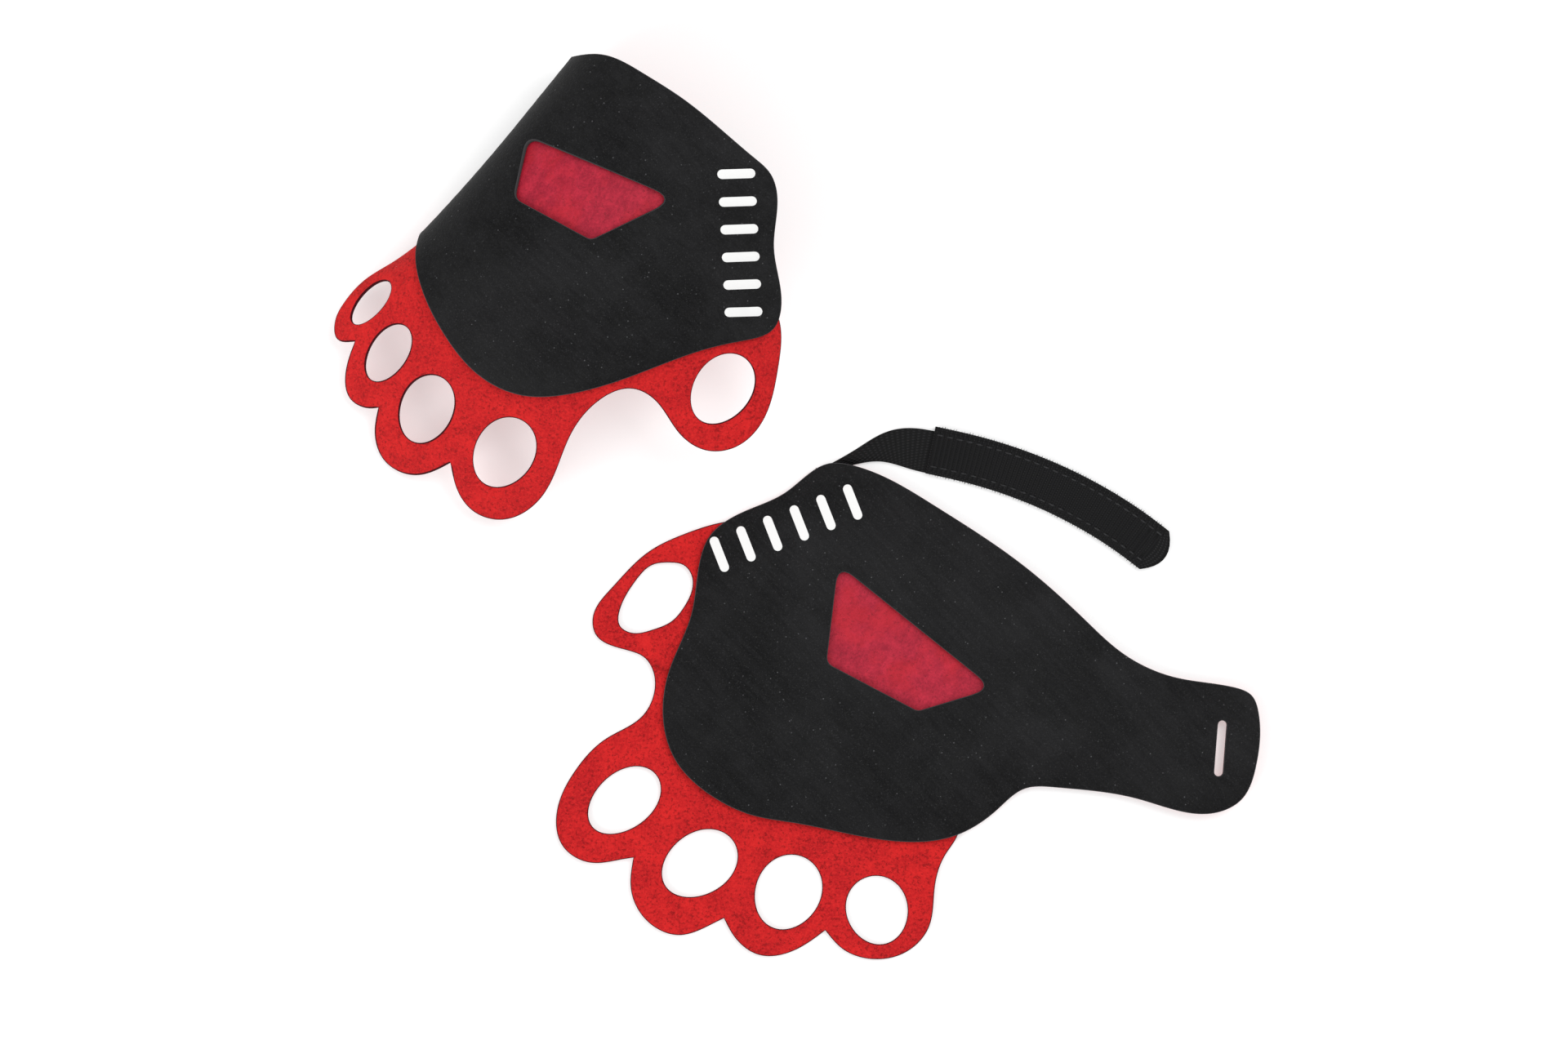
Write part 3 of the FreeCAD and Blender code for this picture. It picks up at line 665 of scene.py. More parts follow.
def add_node(tree, kind, settings, inputs):
    """A new node of a tree, with its settings and inputs."""
    node = tree.nodes.new(kind)
    for key, value in settings.items():
        setattr(node, key, value)
    for key, value in inputs.items():
        feed(tree, node.inputs[key], value)
    return node


class Field:
    """One value over the surface, ready for sums."""

    def __init__(self, recipe, socket):
        self.recipe = recipe
        self.socket = socket

    def sum(self, operation, *values):
        return self.recipe.add("ShaderNodeMath", {"operation": operation},
                               dict(enumerate(values)))

    def __add__(self, other):
        return self.sum("ADD", self, other)

    def __sub__(self, other):
        return self.sum("SUBTRACT", self, other)

    def __rsub__(self, other):
        return self.sum("SUBTRACT", other, self)

    def __mul__(self, other):
        return self.sum("MULTIPLY", self, other)

    __radd__ = __add__
    __rmul__ = __mul__

    def between(self, low, high):
        """0 below low, 1 above high, and a smooth step from one to the other."""
        return self.recipe.add("ShaderNodeMapRange", {"interpolation_type": "SMOOTHSTEP"},
                               {"Value": self, "From Min": low, "From Max": high})


class Recipe:
    """One material's nodes."""

    def __init__(self, name):
        self.material = bpy.data.materials.new(name)
        self.material.use_nodes = True
        self.tree = self.material.node_tree
        self.shader = self.tree.nodes["Principled BSDF"]

    def add(self, kind, settings={}, inputs={}, output=0):
        return Field(self, add_node(self.tree, kind, settings, inputs).outputs[output])

    def mix(self, share, first, second):
        """Two colours mixed by a share."""
        return self.add("ShaderNodeMix", {"data_type": "RGBA"},
                        {0: share, 6: first, 7: second}, 2)

    def place(self, stretch=(1.0, 1.0, 1.0), turn=0.0):
        """Object coordinates in metres, turned about Z and stretched."""
        coordinates = self.add("ShaderNodeTexCoord", output="Object")
        turned_about = self.add("ShaderNodeMapping", {},
                                {"Vector": coordinates, "Rotation": (0, 0, math.radians(turn))})
        return self.add("ShaderNodeMapping", {}, {"Vector": turned_about, "Scale": stretch})

    def noise(self, scale, detail=3.0, rough=0.5, where=None):
        return self.add("ShaderNodeTexNoise", {},
                        {"Vector": where or self.place(), "Scale": scale, "Detail": detail,
                         "Roughness": rough})

    def attribute(self, name):
        return self.add("ShaderNodeAttribute", {"attribute_name": name}, output="Fac")

    def finish(self, color, roughness, height, depth, **fixed):
        """Wires colour, roughness and bump; fixed values go on the shader's own sockets."""
        bump = self.add("ShaderNodeBump", {}, {"Height": height, "Distance": depth,
                                               "Strength": 1.0})
        fixed.update(Base_Color=color, Roughness=roughness, Normal=bump)
        for key, value in fixed.items():
            feed(self.tree, self.shader.inputs[key.replace("_", " ")], value)
        print("material:", self.material.name)
        return self.material


# %% [markdown]
# ## Rubber
# The black panel is a thin rubber laminate: satin, close to black, with a very fine pebble, a
# few pale specks of dust, and faint streaks all one way from the sanding belt.  Soft lighter
# clouds are painted sheen.  Its cut edge is a greyer, duller line, its grey partly a painted
# highlight along the rim.  Streaks are noise stretched along one direction.

# %% Rubber material
RUBBER_DEEP = (0.0006, 0.0006, 0.0008, 1)
RUBBER_PALE = (0.0140, 0.0140, 0.0148, 1)
RUBBER_GRIT = (0.048, 0.048, 0.050, 1)
RUBBER_DUST = (0.10, 0.10, 0.105, 1)
# Grey for the cut wall: partly the cut's own duller grey, partly a painted highlight along the
# rim.
RUBBER_CUT_AND_RIM_HIGHLIGHT = (0.060, 0.059, 0.062, 1)
STREAK_ANGLE = -45.0


def make_rubber():
    r = Recipe("rubber")
    mottle = r.noise(48.0, 5.0, 0.62)
    pebble = r.noise(1500.0, 3.0, 0.65)
    streaks = r.noise(750.0, 4.0, 0.66, r.place((1.0, 0.07, 1.0), STREAK_ANGLE))
    cells = r.add("ShaderNodeTexVoronoi", {}, {"Vector": r.place(), "Scale": 420.0})
    chance = r.noise(160.0, 1.0).between(0.44, 0.56)
    specks = (1 - cells.between(0.05, 0.13)) * chance
    wall = r.attribute("cut").between(0.2, 0.9)
    # Large soft clouds that lighten the colour: painted sheen, standing in for highlights on the
    # satin rubber.
    painted_sheen_clouds = r.noise(17.0, 2.0, 0.5).between(0.40, 0.66)
    grit = r.noise(1900.0, 3.0, 0.8).between(0.56, 0.72)
    shade = (mottle.between(0.36, 0.66) * 0.35 + streaks.between(0.34, 0.68) * 0.25
             + pebble.between(0.38, 0.66) * 0.20 + painted_sheen_clouds * 0.20)
    color = r.mix(shade, RUBBER_DEEP, RUBBER_PALE)
    # The wall's grey mixed in here is partly a painted rim highlight; grit and dust specks are
    # the rubber's own.
    for share, pale in ((grit * 0.60, RUBBER_GRIT), (specks * 0.75, RUBBER_DUST),
                        (wall * 0.8, RUBBER_CUT_AND_RIM_HIGHLIGHT)):
        color = r.mix(share, color, pale)
    roughness = 0.50 + mottle * 0.12 + streaks * 0.14 + wall * 0.2
    height = pebble * 0.9 + streaks * 0.6 + specks * 0.6
    return r.finish(color, roughness, height, 0.00018, Specular_IOR_Level=0.13)


RUBBER_LOOK = make_rubber()

# %% [markdown]
# ## Micro-suede
# The red sheet is a felted micro-fibre: no weave, a short nap that is brushed here and there,
# and tiny darker pits.  Sheen gives it the soft halo of a nap.  The knife leaves a dark
# burgundy line where dye and fibre are pressed together.

# %% Suede material
SUEDE_DEEP = (0.415, 0.0095, 0.0125, 1)
SUEDE_RED = (0.60, 0.0160, 0.0170, 1)
SUEDE_PATCH = (0.395, 0.0095, 0.0145, 1)
SUEDE_NAP = (0.72, 0.026, 0.024, 1)
SUEDE_PIT = (0.170, 0.0045, 0.0070, 1)
SUEDE_CUT = (0.042, 0.0026, 0.0058, 1)
SHEEN_TINT = (1.0, 0.30, 0.25, 1)


def make_suede():
    r = Recipe("suede")
    brushed = r.noise(110.0, 5.0, 0.66)
    patches = r.noise(34.0, 2.0, 0.5)
    nap = r.noise(1250.0, 4.0, 0.74)
    pits = r.noise(980.0, 3.0, 0.75).between(0.54, 0.68)
    wall = r.attribute("cut").between(0.05, 0.55)
    color = r.mix(brushed.between(0.34, 0.66), SUEDE_DEEP, SUEDE_RED)
    for share, layer in ((patches.between(0.35, 0.7) * 0.45, SUEDE_PATCH),
                         (nap.between(0.40, 0.64) * 0.55, SUEDE_NAP),
                         (pits * 0.42, SUEDE_PIT), (wall, SUEDE_CUT)):
        color = r.mix(share, color, layer)
    roughness = 0.86 + nap * 0.1
    height = nap * 0.9 + brushed * 0.4 - pits * 0.6
    return r.finish(color, roughness, height, 0.00030, Sheen_Weight=0.08,
                    Sheen_Roughness=0.55, Sheen_Tint=SHEEN_TINT,
                    Specular_IOR_Level=0.10)


SUEDE_LOOK = make_suede()

# %% [markdown]
# ## Bond film
# Inside the panel's window the suede is covered by a heat-bond film: crimson, a little shiny,
# and mottled where it took hold unevenly.

# %% Film and print materials
FILM_DEEP = (0.270, 0.0070, 0.024, 1)
FILM_CRIMSON = (0.50, 0.0200, 0.046, 1)
FILM_CLOUD = (0.49, 0.0115, 0.018, 1)
FILM_PIT = (0.15, 0.0045, 0.012, 1)
PRINT_WHITE = (0.83, 0.83, 0.82, 1)
PRINT_GREY = (0.74, 0.74, 0.74, 1)
PRINT_EDGE = (0.45, 0.45, 0.45, 1)


def make_film():
    r = Recipe("bond_film")
    grain = r.noise(330.0, 5.0, 0.70, r.place((1.0, 0.55, 1.0), 35.0))
    fine = r.noise(1300.0, 4.0, 0.72)
    pits = r.noise(900.0, 3.0, 0.75).between(0.55, 0.70)
    cloud = r.noise(75.0, 3.0, 0.6)
    color = r.mix(grain.between(0.32, 0.70) * 0.6 + fine.between(0.38, 0.66) * 0.4,
                  FILM_DEEP, FILM_CRIMSON)
    color = r.mix(cloud.between(0.42, 0.66) * 0.45, color, FILM_CLOUD)
    color = r.mix(pits * 0.45, color, FILM_PIT)
    height = grain * 0.6 + fine * 0.6 - pits * 0.3
    return r.finish(color, 0.40 + fine * 0.22, height, 0.00018, Specular_IOR_Level=0.20)


def make_print():
    r = Recipe("white_print")
    fine = r.noise(1900.0, 2.0, 0.5)
    wall = r.attribute("cut").between(0.3, 0.9)
    color = r.mix(fine * 0.3, PRINT_WHITE, PRINT_GREY)
    color = r.mix(wall * 0.5, color, PRINT_EDGE)
    return r.finish(color, 0.42 + fine * 0.12, fine, 0.00003)


FILM_LOOK = make_film()
PRINT_LOOK = make_print()

# %% [markdown]
# ## Webbing, tape, hooks and thread
# The strap is black polyester.  Its weave follows the strap, so the pattern reads a UV map in
# millimetres: one way along the strap, the other across it.  Two waves at right angles, one
# shifted on every other pick, are enough for a plain weave once ribs of real geometry stand
# on it.

# %% Strap materials
STRAP_DEEP = (0.0008, 0.0008, 0.0010, 1)
WEBBING_PALE = (0.0150, 0.0150, 0.0158, 1)
TAPE_PALE = (0.0200, 0.0200, 0.0210, 1)
HOOK_DEEP = (0.003, 0.003, 0.003, 1)
HOOK_PALE = (0.016, 0.016, 0.017, 1)
THREAD_DEEP = (0.012, 0.012, 0.013, 1)
THREAD_PALE = (0.035, 0.035, 0.037, 1)


def make_woven(name, dark, light, pick, end, rough):
    """A plain weave; pick and end are its thread spacings along and across, in mm."""
    r = Recipe(name)
    uv = r.add("ShaderNodeUVMap", {"uv_map": "strap"})
    along, across = (r.add("ShaderNodeSeparateXYZ", {}, {0: uv}, output) for output in (0, 1))
    row = along * (1 / pick)
    odd = row.sum("FLOOR", row).sum("PINGPONG", row.sum("FLOOR", row), 1.0)
    warp = (across * (1 / end) + odd * 0.5) * math.tau
    threads = warp.sum("SINE", warp) * 0.5 + 0.5
    picks = (row * math.tau).sum("SINE", row * math.tau) * 0.5 + 0.5
    lint = r.noise(1700.0, 3.0, 0.6)
    color = r.mix((threads * picks).between(0.1, 0.9) * 0.7 + lint * 0.3, dark, light)
    height = threads * 0.6 + picks * 0.5 + lint * 0.3
    return r.finish(color, rough + lint * 0.15, height, 0.00022, Specular_IOR_Level=0.16)


def make_fibre(name, dark, light, rough):
    """Loose fibre without a weave."""
    r = Recipe(name)
    lint = r.noise(2200.0, 3.0, 0.6)
    color = r.mix(lint.between(0.35, 0.7), dark, light)
    return r.finish(color, rough + lint * 0.1, lint, 0.00008, Specular_IOR_Level=0.2)


WEBBING_LOOK = make_woven("webbing", STRAP_DEEP, WEBBING_PALE, 1.5, 0.9, 0.55)
TAPE_LOOK = make_woven("tape", STRAP_DEEP, TAPE_PALE, 0.75, 0.8, 0.6)
HOOK_LOOK = make_fibre("hook_pile", HOOK_DEEP, HOOK_PALE, 0.5)
THREAD_LOOK = make_fibre("thread", THREAD_DEEP, THREAD_PALE, 0.42)

# %% [markdown]
# ## Camera, table and light
# The pair is seen from straight above on a white table.  A long lens keeps the tall cuff from
# leaning outwards.  One broad lamp on the right puts a soft sheen on the satin rubber.  A
# weaker lamp from the left and a pale sky fill the rest, and the table glows a little, so
# shadows stay faint.

# %% Camera, table and lamps
VIEW_WIDTH = 0.5053
VIEW_CENTRE = (-0.0042, -0.0043)
LENS = 200.0
SENSOR = 36.0

camera_data = bpy.data.cameras.new("camera")
camera_data.lens = LENS
camera_data.sensor_width = SENSOR
camera_data.clip_end = 20.0
camera = placed("camera", camera_data)
camera.location = (*VIEW_CENTRE, VIEW_WIDTH * LENS / SENSOR)
bpy.context.scene.camera = camera


def add_lamp(name, place, aim, size, power):
    """A soft rectangular lamp; places and size in metres, power in watts."""
    data = bpy.data.lights.new(name, "AREA")
    data.shape = "RECTANGLE"
    data.size, data.size_y = size
    data.energy = power
    lamp = placed(name, data)
    lamp.location = place
    lamp.rotation_euler = (Vector(aim) - Vector(place)).to_track_quat("-Z", "Y").to_euler()


SKY_STRENGTH = 0.62
TABLE_GLOW = 0.42

add_lamp("key", (0.9, 0.8, 1.7), (0, 0, 0), (1.3, 1.3), 21)
add_lamp("fill", (-1.2, -0.9, 1.0), (-0.1, 0.05, 0), (1.2, 0.8), 15)
world = bpy.data.worlds.new("sky")
world.use_nodes = True
sky = world.node_tree.nodes["Background"].inputs
sky["Color"].default_value = (1, 1, 1, 1)
sky["Strength"].default_value = SKY_STRENGTH
bpy.context.scene.world = world
bpy.context.scene.view_settings.view_transform = "Standard"

TABLE_HALF = 4.0
TABLE_LEVEL = -0.0002
TABLE_WHITE = (0.66, 0.66, 0.66, 1)
table_mesh = bpy.data.meshes.new("table")
table_mesh.from_pydata([(x * TABLE_HALF, y * TABLE_HALF, TABLE_LEVEL)
                        for x, y in ((-1, -1), (1, -1), (1, 1), (-1, 1))], [], [(0, 1, 2, 3)])
table = placed("table", table_mesh)
paper = Recipe("white_table")
paper.finish(TABLE_WHITE, 0.9, paper.noise(400.0), 0.00002, Specular_IOR_Level=0.1,
             Emission_Color=(1, 1, 1, 1), Emission_Strength=TABLE_GLOW)
table_mesh.materials.append(paper.material)
print("camera height", round(camera.location.z, 3), "m")

# %% [markdown]
# ## The open grip's suede
# On the real grip this is one die-cut sheet.  It is cut here in three, because it bends at
# two places: where the wing starts, and along the root of the thumb loop.  Each cut lies
# under the rubber, or follows the bottom of the web beside the thumb, and the pieces meet
# edge to edge.  The flex lines come from the frame's joints.

# %% Helpers that fasten a piece
FILM_INSET = 0.4


def dressed(thing, look, nodes):
    """Gives a piece its material and slot, and hides the solids that it stands for."""
    thing.data.materials.clear()
    thing.data.materials.append(look)
    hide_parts(*nodes)
    return thing


def declare_sheet(outer, cuts):
    """Works out a piece's flat width, length and cut area; nothing is done with them."""
    width, length = outer.max(axis=0) - outer.min(axis=0)
    area = loop_area(outer) - sum(loop_area(cut) for cut in cuts)
    width * MM
    length * MM
    area * MM * MM


def make_cover(grip, form, panel, window, slot, bars, film_grid):
    """A grip's rubber panel, the film under it and the print on it."""
    side = grip.name
    top = FILM + RUBBER
    rubber = sheet_mesh(f"{side}_rubber_sheet", [panel], [window, slot], FILM, top, form, grip)
    film = sheet_mesh(f"{side}_film_sheet", [moved_in(turned(panel, False), FILM_INSET)],
                      [slot], 0, FILM, form, grip, grid=film_grid)
    bars = sheet_mesh(f"{side}_print_bars", bars, [], top, top + PRINT, form, grip)
    dressed(rubber, RUBBER_LOOK, [f"{side}_rubber_back", f"{side}_rubber_wing"])
    dressed(film, FILM_LOOK, [f"{side}_bond_film_back", f"{side}_bond_film_wing"])
    dressed(bars, PRINT_LOOK, [f"{side}_print_marks"])
    declare_sheet(panel, [window, slot])
    return rubber, film, bars


# %% Open suede: back, wing and thumb loop
left_form = open_form(LEFT)
left_panel = outline(OPEN_PANEL)
left_sheet = combined(left_panel, outline(OPEN_LOOPS), both)
left_holes = {name: hole(*sizes) for name, sizes in OPEN_HOLES.items()}
left_holes["thumb"] = smooth(OPEN_THUMB_HOLE, closed=True)
SLOT_LENGTH = 18.0
SLOT_WIDTH = 2.8
THUMB_GRID = 2.0
slot_u, slot_v, slot_lean = OPEN_SLOT
left_slot = spaced(bar(SLOT_LENGTH, SLOT_WIDTH, (slot_u, slot_v),
                       math.radians(90 - slot_lean)))

flex_far, flex_near = (np.array(point) for point in THUMB_FLEX)
flex_along = unit(flex_far - flex_near)
flex_across = -left_of(flex_along)
FAR = 100.0
THUMB_TUCK = 8.0
WING_TUCK = 14.0
WING_CUT_V = 56.0
THUMB_CORNER = flex_near - flex_across * THUMB_TUCK
THUMB_END = flex_near + flex_across * FAR
WING_CORNER = (WING_FLEX_U + WING_TUCK, WING_CUT_V)
WING_TOP = (WING_CORNER[0], 2 * FAR)
WING_END = (-2 * FAR, WING_CUT_V)
POCKET = [(40.5, 138), (32, 142), (28.2, 121.6), (38.8, 120.6)]
BEND_SEAMS = ((THUMB_CORNER, THUMB_END), (THUMB_CORNER, THUMB_CORNER + flex_along * FAR),
              (WING_CORNER, WING_TOP), (WING_CORNER, WING_END))
thumb_block = spaced(np.array([THUMB_CORNER, THUMB_END, THUMB_END + flex_along * FAR,
                               THUMB_CORNER + flex_along * FAR]))
wing_block = spaced(np.array([WING_CORNER, WING_TOP, (WING_END[0], WING_TOP[1]), WING_END]))
left_thumb_edge = combined(left_sheet, thumb_block, common)
left_wing_edge = combined(left_sheet, wing_block, common)
left_back_edge = left_sheet
for block in (thumb_block, wing_block, spaced(np.array(POCKET))):
    left_back_edge = combined(left_back_edge, block, without)

finger_holes = [left_holes[finger] for finger in ("index", "middle", "ring", "little")]
left_suede = []
for name, edge, cuts, grid, node in (
        ("left_suede_back_sheet", left_back_edge, finger_holes, GRID, "left_suede_back"),
        ("left_suede_thumb_sheet", left_thumb_edge, [left_holes["thumb"]], THUMB_GRID,
         "left_suede_thumb_loop"),
        ("left_suede_wing_sheet", left_wing_edge, [left_slot], GRID, "left_suede_wing")):
    left_suede.append(sheet_mesh(name, [edge], cuts, -SUEDE, 0, left_form, LEFT, grid,
                                 BEND_SEAMS))
    dressed(left_suede[-1], SUEDE_LOOK, [node])
    declare_sheet(edge, cuts)
left_suede_back, left_suede_thumb, left_suede_wing = left_suede
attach(left_suede_back, "left_back")

WING_BEND = 10.0
WING_BEND_V = 95.0
THUMB_BEND = 8.0
wing_bend = [LEFT.spot(WING_FLEX_U + reach, WING_BEND_V) for reach in (WING_BEND, -WING_BEND)]
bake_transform(left_suede_wing)
LEFT.spot(*(flex_near - flex_across))
LEFT.spot(*(flex_near + flex_across * THUMB_BEND))
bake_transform(left_suede_thumb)

# %% [markdown]
# ## The open grip's rubber, film and print
# The panel is one piece from thumb to slot, so it has to bend like leather where the wing
# folds.  The film lies between rubber and suede and only shows in the window.

# %% Open rubber, film and print
WINDOW_CORNER = 3.5
OPEN_FILM_GRID = 5.0
CLOSED_FILM_GRID = 4.0
left_rubber, left_film, left_print = make_cover(
    LEFT, left_form, left_panel, rounded(OPEN_WINDOW, WINDOW_CORNER), left_slot,
    marks(OPEN_MARKS), OPEN_FILM_GRID)
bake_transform(left_rubber)
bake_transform(left_film)
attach(left_print, "left_back")

# %% [markdown]
# ## The closed grip
# The same cutter makes the bent sheets.  Their outlines are drawn as seen from above, and
# carried onto the arch: the back from the crown down to the upright side, the wing from
# there round the fold and along the table.  Back and wing then share one edge and are one
# sheet again.

# %% Closed suede, rubber, film and print
LOOP_STEP = 1.2
CROWD_GAP = 0.5


def closed_loop(back_points, wing_points):
    """One edge round the back and the wing, on the arch."""
    return np.vstack([wrap_back(smooth(back_points)), wrap_wing(smooth(wing_points))[:-1]])


def evened(loop):
    """The same loop with points neither crowded nor far apart."""
    return spaced(thinned(loop, CROWD_GAP), LOOP_STEP)


right_form = closed_form(RIGHT)
right_panel = evened(closed_loop(CLOSED_BACK_EDGE, CLOSED_WING_EDGE))
right_loops = evened(wrap_back(outline(CLOSED_LOOPS)))
right_sheet = combined(right_panel, right_loops, both)
right_slot = wrap_wing(spaced(bar(SLOT_LENGTH, SLOT_WIDTH, (CLOSED_SLOT_U, CLOSED_STRAP_V),
                                  math.pi / 2)))
POCKET_START = 24.0
POCKET_END = 42.7
POCKET_HALF = 7.3
right_pocket = wrap_back(spaced(np.array([
    (u, CLOSED_STRAP_V + sign * POCKET_HALF)
    for u, sign in ((POCKET_START, -1), (POCKET_END, -1), (POCKET_END, 1), (POCKET_START, 1))])))
right_cuts = [wrap_back(hole(*sizes)) for sizes in CLOSED_HOLES.values()]
right_cuts += [right_slot, right_pocket]
right_suede = sheet_mesh("right_suede_sheet", [right_sheet], right_cuts, -SUEDE, 0,
                         right_form, RIGHT)
dressed(right_suede, SUEDE_LOOK, ["right_suede_back", "right_suede_wing"])
declare_sheet(right_sheet, right_cuts)
right_cover = make_cover(
    RIGHT, right_form, right_panel, wrap_back(rounded(CLOSED_WINDOW, WINDOW_CORNER)),
    right_slot, [wrap_back(loop) for loop in marks(CLOSED_MARKS)], CLOSED_FILM_GRID)
for thing in (right_suede, *right_cover):
    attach(thing, "right_grip")

# %% [markdown]
# ## Straps
# Webbing is a flat band with slightly rounded selvedges.  It is swept here by hand, ring by
# ring, along a middle line with a width and an outward direction at every step, because the
# open strap changes width where it is gathered at its root, and the closed one turns
# through the slot.  The last ring of the tape is bowed, as the tail is cut to a shallow arc.

# %% The band sweep
ACROSS_STEPS = 10
SELVEDGE = 0.3
BOW_LENGTH = 10.0


class Band:
    """A strap's middle line with its directions and width at every step, in the grip's frame."""

    def __init__(self, grip, path, across, out, width):
        self.grip = grip
        self.path = np.asarray(path, float)
        self.across = np.asarray(across, float)
        self.out = np.asarray(out, float)
        self.width = np.broadcast_to(np.asarray(width, float), (len(self.path),))
        self.along = lengths(self.path)
        self.ahead = unit(np.gradient(self.path, axis=0))

    def row(self, shift, lift, end_trim):
        """A line beside the middle one: shift is a share of the half width."""
        keep = (self.along >= end_trim) & (self.along <= self.along[-1] - end_trim)
        return keep, (self.path + self.across * (self.width * shift / 2)[:, None]
                      + self.out * lift)


def profile(width, low, high):
    """The band's cross-section as (across, lift) points, round at the selvedges."""
    half = width / 2
    spread = np.linspace(-half + SELVEDGE, half - SELVEDGE, ACROSS_STEPS)
    turn = SELVEDGE * 0.3
    side = [(half - turn, high - turn), (half, high - SELVEDGE), (half, low + SELVEDGE),
            (half - turn, low + turn)]
    top = [(w, high) for w in spread]
    bottom = [(w, low) for w in spread[::-1]]
    return top + side + bottom + [(-w, low + high - h) for w, h in side]


def tube(rings, size):
    """Faces of a closed tube whose points come ring by ring."""
    last = (rings - 1) * size
    faces = [tuple(range(size))[::-1], tuple(range(last, last + size))]
    for start in range(0, last, size):
        for j in range(size):
            a, b = start + j, start + (j + 1) % size
            faces.append((a, b, b + size, a + size))
    return faces


def band_mesh(name, band, low, high, arch=0.0, bow=0.0):
    """A closed band between two lifts, with a UV map in millimetres."""
    arch = np.broadcast_to(arch, (len(band.path),))
    points = []
    uvs = []
    for k, place in enumerate(band.path):
        tail = max(0.0, 1 - (band.along[-1] - band.along[k]) / BOW_LENGTH)
        for across, lift in profile(band.width[k], low, high):
            round_off = 1 - (2 * across / band.width[k]) ** 2
            points.append(place + band.across[k] * across
                          + band.out[k] * (lift + arch[k] * round_off)
                          + band.ahead[k] * bow * tail ** 2 * round_off)
            uvs.append((band.along[k], across))
    size = len(points) // len(band.path)
    mesh = bpy.data.meshes.new(name)
    mesh.from_pydata(band.grip.world(points).tolist(), [], tube(len(band.path), size))
    layer = mesh.uv_layers.new(name="strap")
    for corner in mesh.loops:
        layer.data[corner.index].uv = uvs[corner.vertex_index]
    thing = finished(name, mesh)
    ends = bmesh.new()
    ends.from_mesh(mesh)
    bmesh.ops.triangulate(ends, faces=[f for f in ends.faces if len(f.verts) > 4])
    ends.to_mesh(mesh)
    ends.free()
    return thing


# %% [markdown]
# ## Rows that follow a band
# Ribs, stitches and stray fibres all repeat along a line, so one Geometry Nodes tree makes
# them.  It resamples the line at a pitch, puts a bead on each point, turned by the line's own
# out and ahead directions, and can shake each bead's turn and size with a fixed seed.

# %% The row tree
TREE_INPUTS = (("Pitch", "NodeSocketFloat", 0.0015), ("Bead", "NodeSocketObject", None),
               ("Shake", "NodeSocketFloat", 0.0), ("Uneven", "NodeSocketFloat", 0.0),
               ("Seed", "NodeSocketInt", 0), ("Look", "NodeSocketMaterial", None))


def make_row_tree():
    tree = bpy.data.node_groups.new("row_on_a_line", "GeometryNodeTree")
    tree.interface.new_socket("Geometry", in_out="INPUT", socket_type="NodeSocketGeometry")
    tree.interface.new_socket("Geometry", in_out="OUTPUT", socket_type="NodeSocketGeometry")
    for name, kind, value in TREE_INPUTS:
        socket = tree.interface.new_socket(name, in_out="INPUT", socket_type=kind)
        if value is not None:
            socket.default_value = value

    def add(kind, settings={}, inputs={}, output=0):
        outputs = add_node(tree, kind, settings, inputs).outputs
        return outputs[output] if outputs else None

    def named(name):
        return add("GeometryNodeInputNamedAttribute", {"data_type": "FLOAT_VECTOR"},
                   {"Name": name})

    given = add_node(tree, "NodeGroupInput", {}, {}).outputs
    curve = add("GeometryNodeMeshToCurve", {}, {0: given["Geometry"]})
    points = add("GeometryNodeResampleCurve", {"mode": "LENGTH"},
                 {"Curve": curve, "Length": given["Pitch"]})
    turn = add("FunctionNodeAxesToRotation", {"primary_axis": "Z", "secondary_axis": "X"},
               {"Primary Axis": named("out"), "Secondary Axis": named("ahead")})
    minus = add("ShaderNodeMath", {"operation": "MULTIPLY"}, {0: given["Shake"], 1: -1.0})
    shake = add("FunctionNodeRandomValue", {"data_type": "FLOAT_VECTOR"},
                {"Min": minus, "Max": given["Shake"], "Seed": given["Seed"]})
    euler = add("FunctionNodeEulerToRotation", {}, {0: shake})
    shaken = add("FunctionNodeRotateRotation", {"rotation_space": "LOCAL"}, {0: turn, 1: euler})
    small = add("ShaderNodeMath", {"operation": "SUBTRACT"}, {0: 1.0, 1: given["Uneven"]})
    large = add("ShaderNodeMath", {"operation": "ADD"}, {0: 1.0, 1: given["Uneven"]})
    factor = add("FunctionNodeRandomValue", {"data_type": "FLOAT"},
                 {2: small, 3: large, "Seed": given["Seed"]}, 1)
    scale = add("ShaderNodeVectorMath", {"operation": "SCALE"},
                {0: named("stretch"), "Scale": factor})
    bead = add("GeometryNodeObjectInfo", {}, {"Object": given["Bead"]}, "Geometry")
    beads = add("GeometryNodeInstanceOnPoints", {},
                {"Points": points, "Instance": bead, "Rotation": shaken, "Scale": scale})
    real = add("GeometryNodeRealizeInstances", {}, {0: beads})
    look = add("GeometryNodeSetMaterial", {}, {"Geometry": real, "Material": given["Look"]})
    add("NodeGroupOutput", {}, {0: look})
    return tree


ROW_TREE = make_row_tree()
SOCKETS = {item.name: item.identifier for item in ROW_TREE.interface.items_tree
           if item.in_out == "INPUT"}
print("row tree inputs:", sorted(SOCKETS))

# %% Making a row
RIB_ROOT = 0.1
RIB_END_SINK = 0.7      # share of a rib's height that it loses at its ends


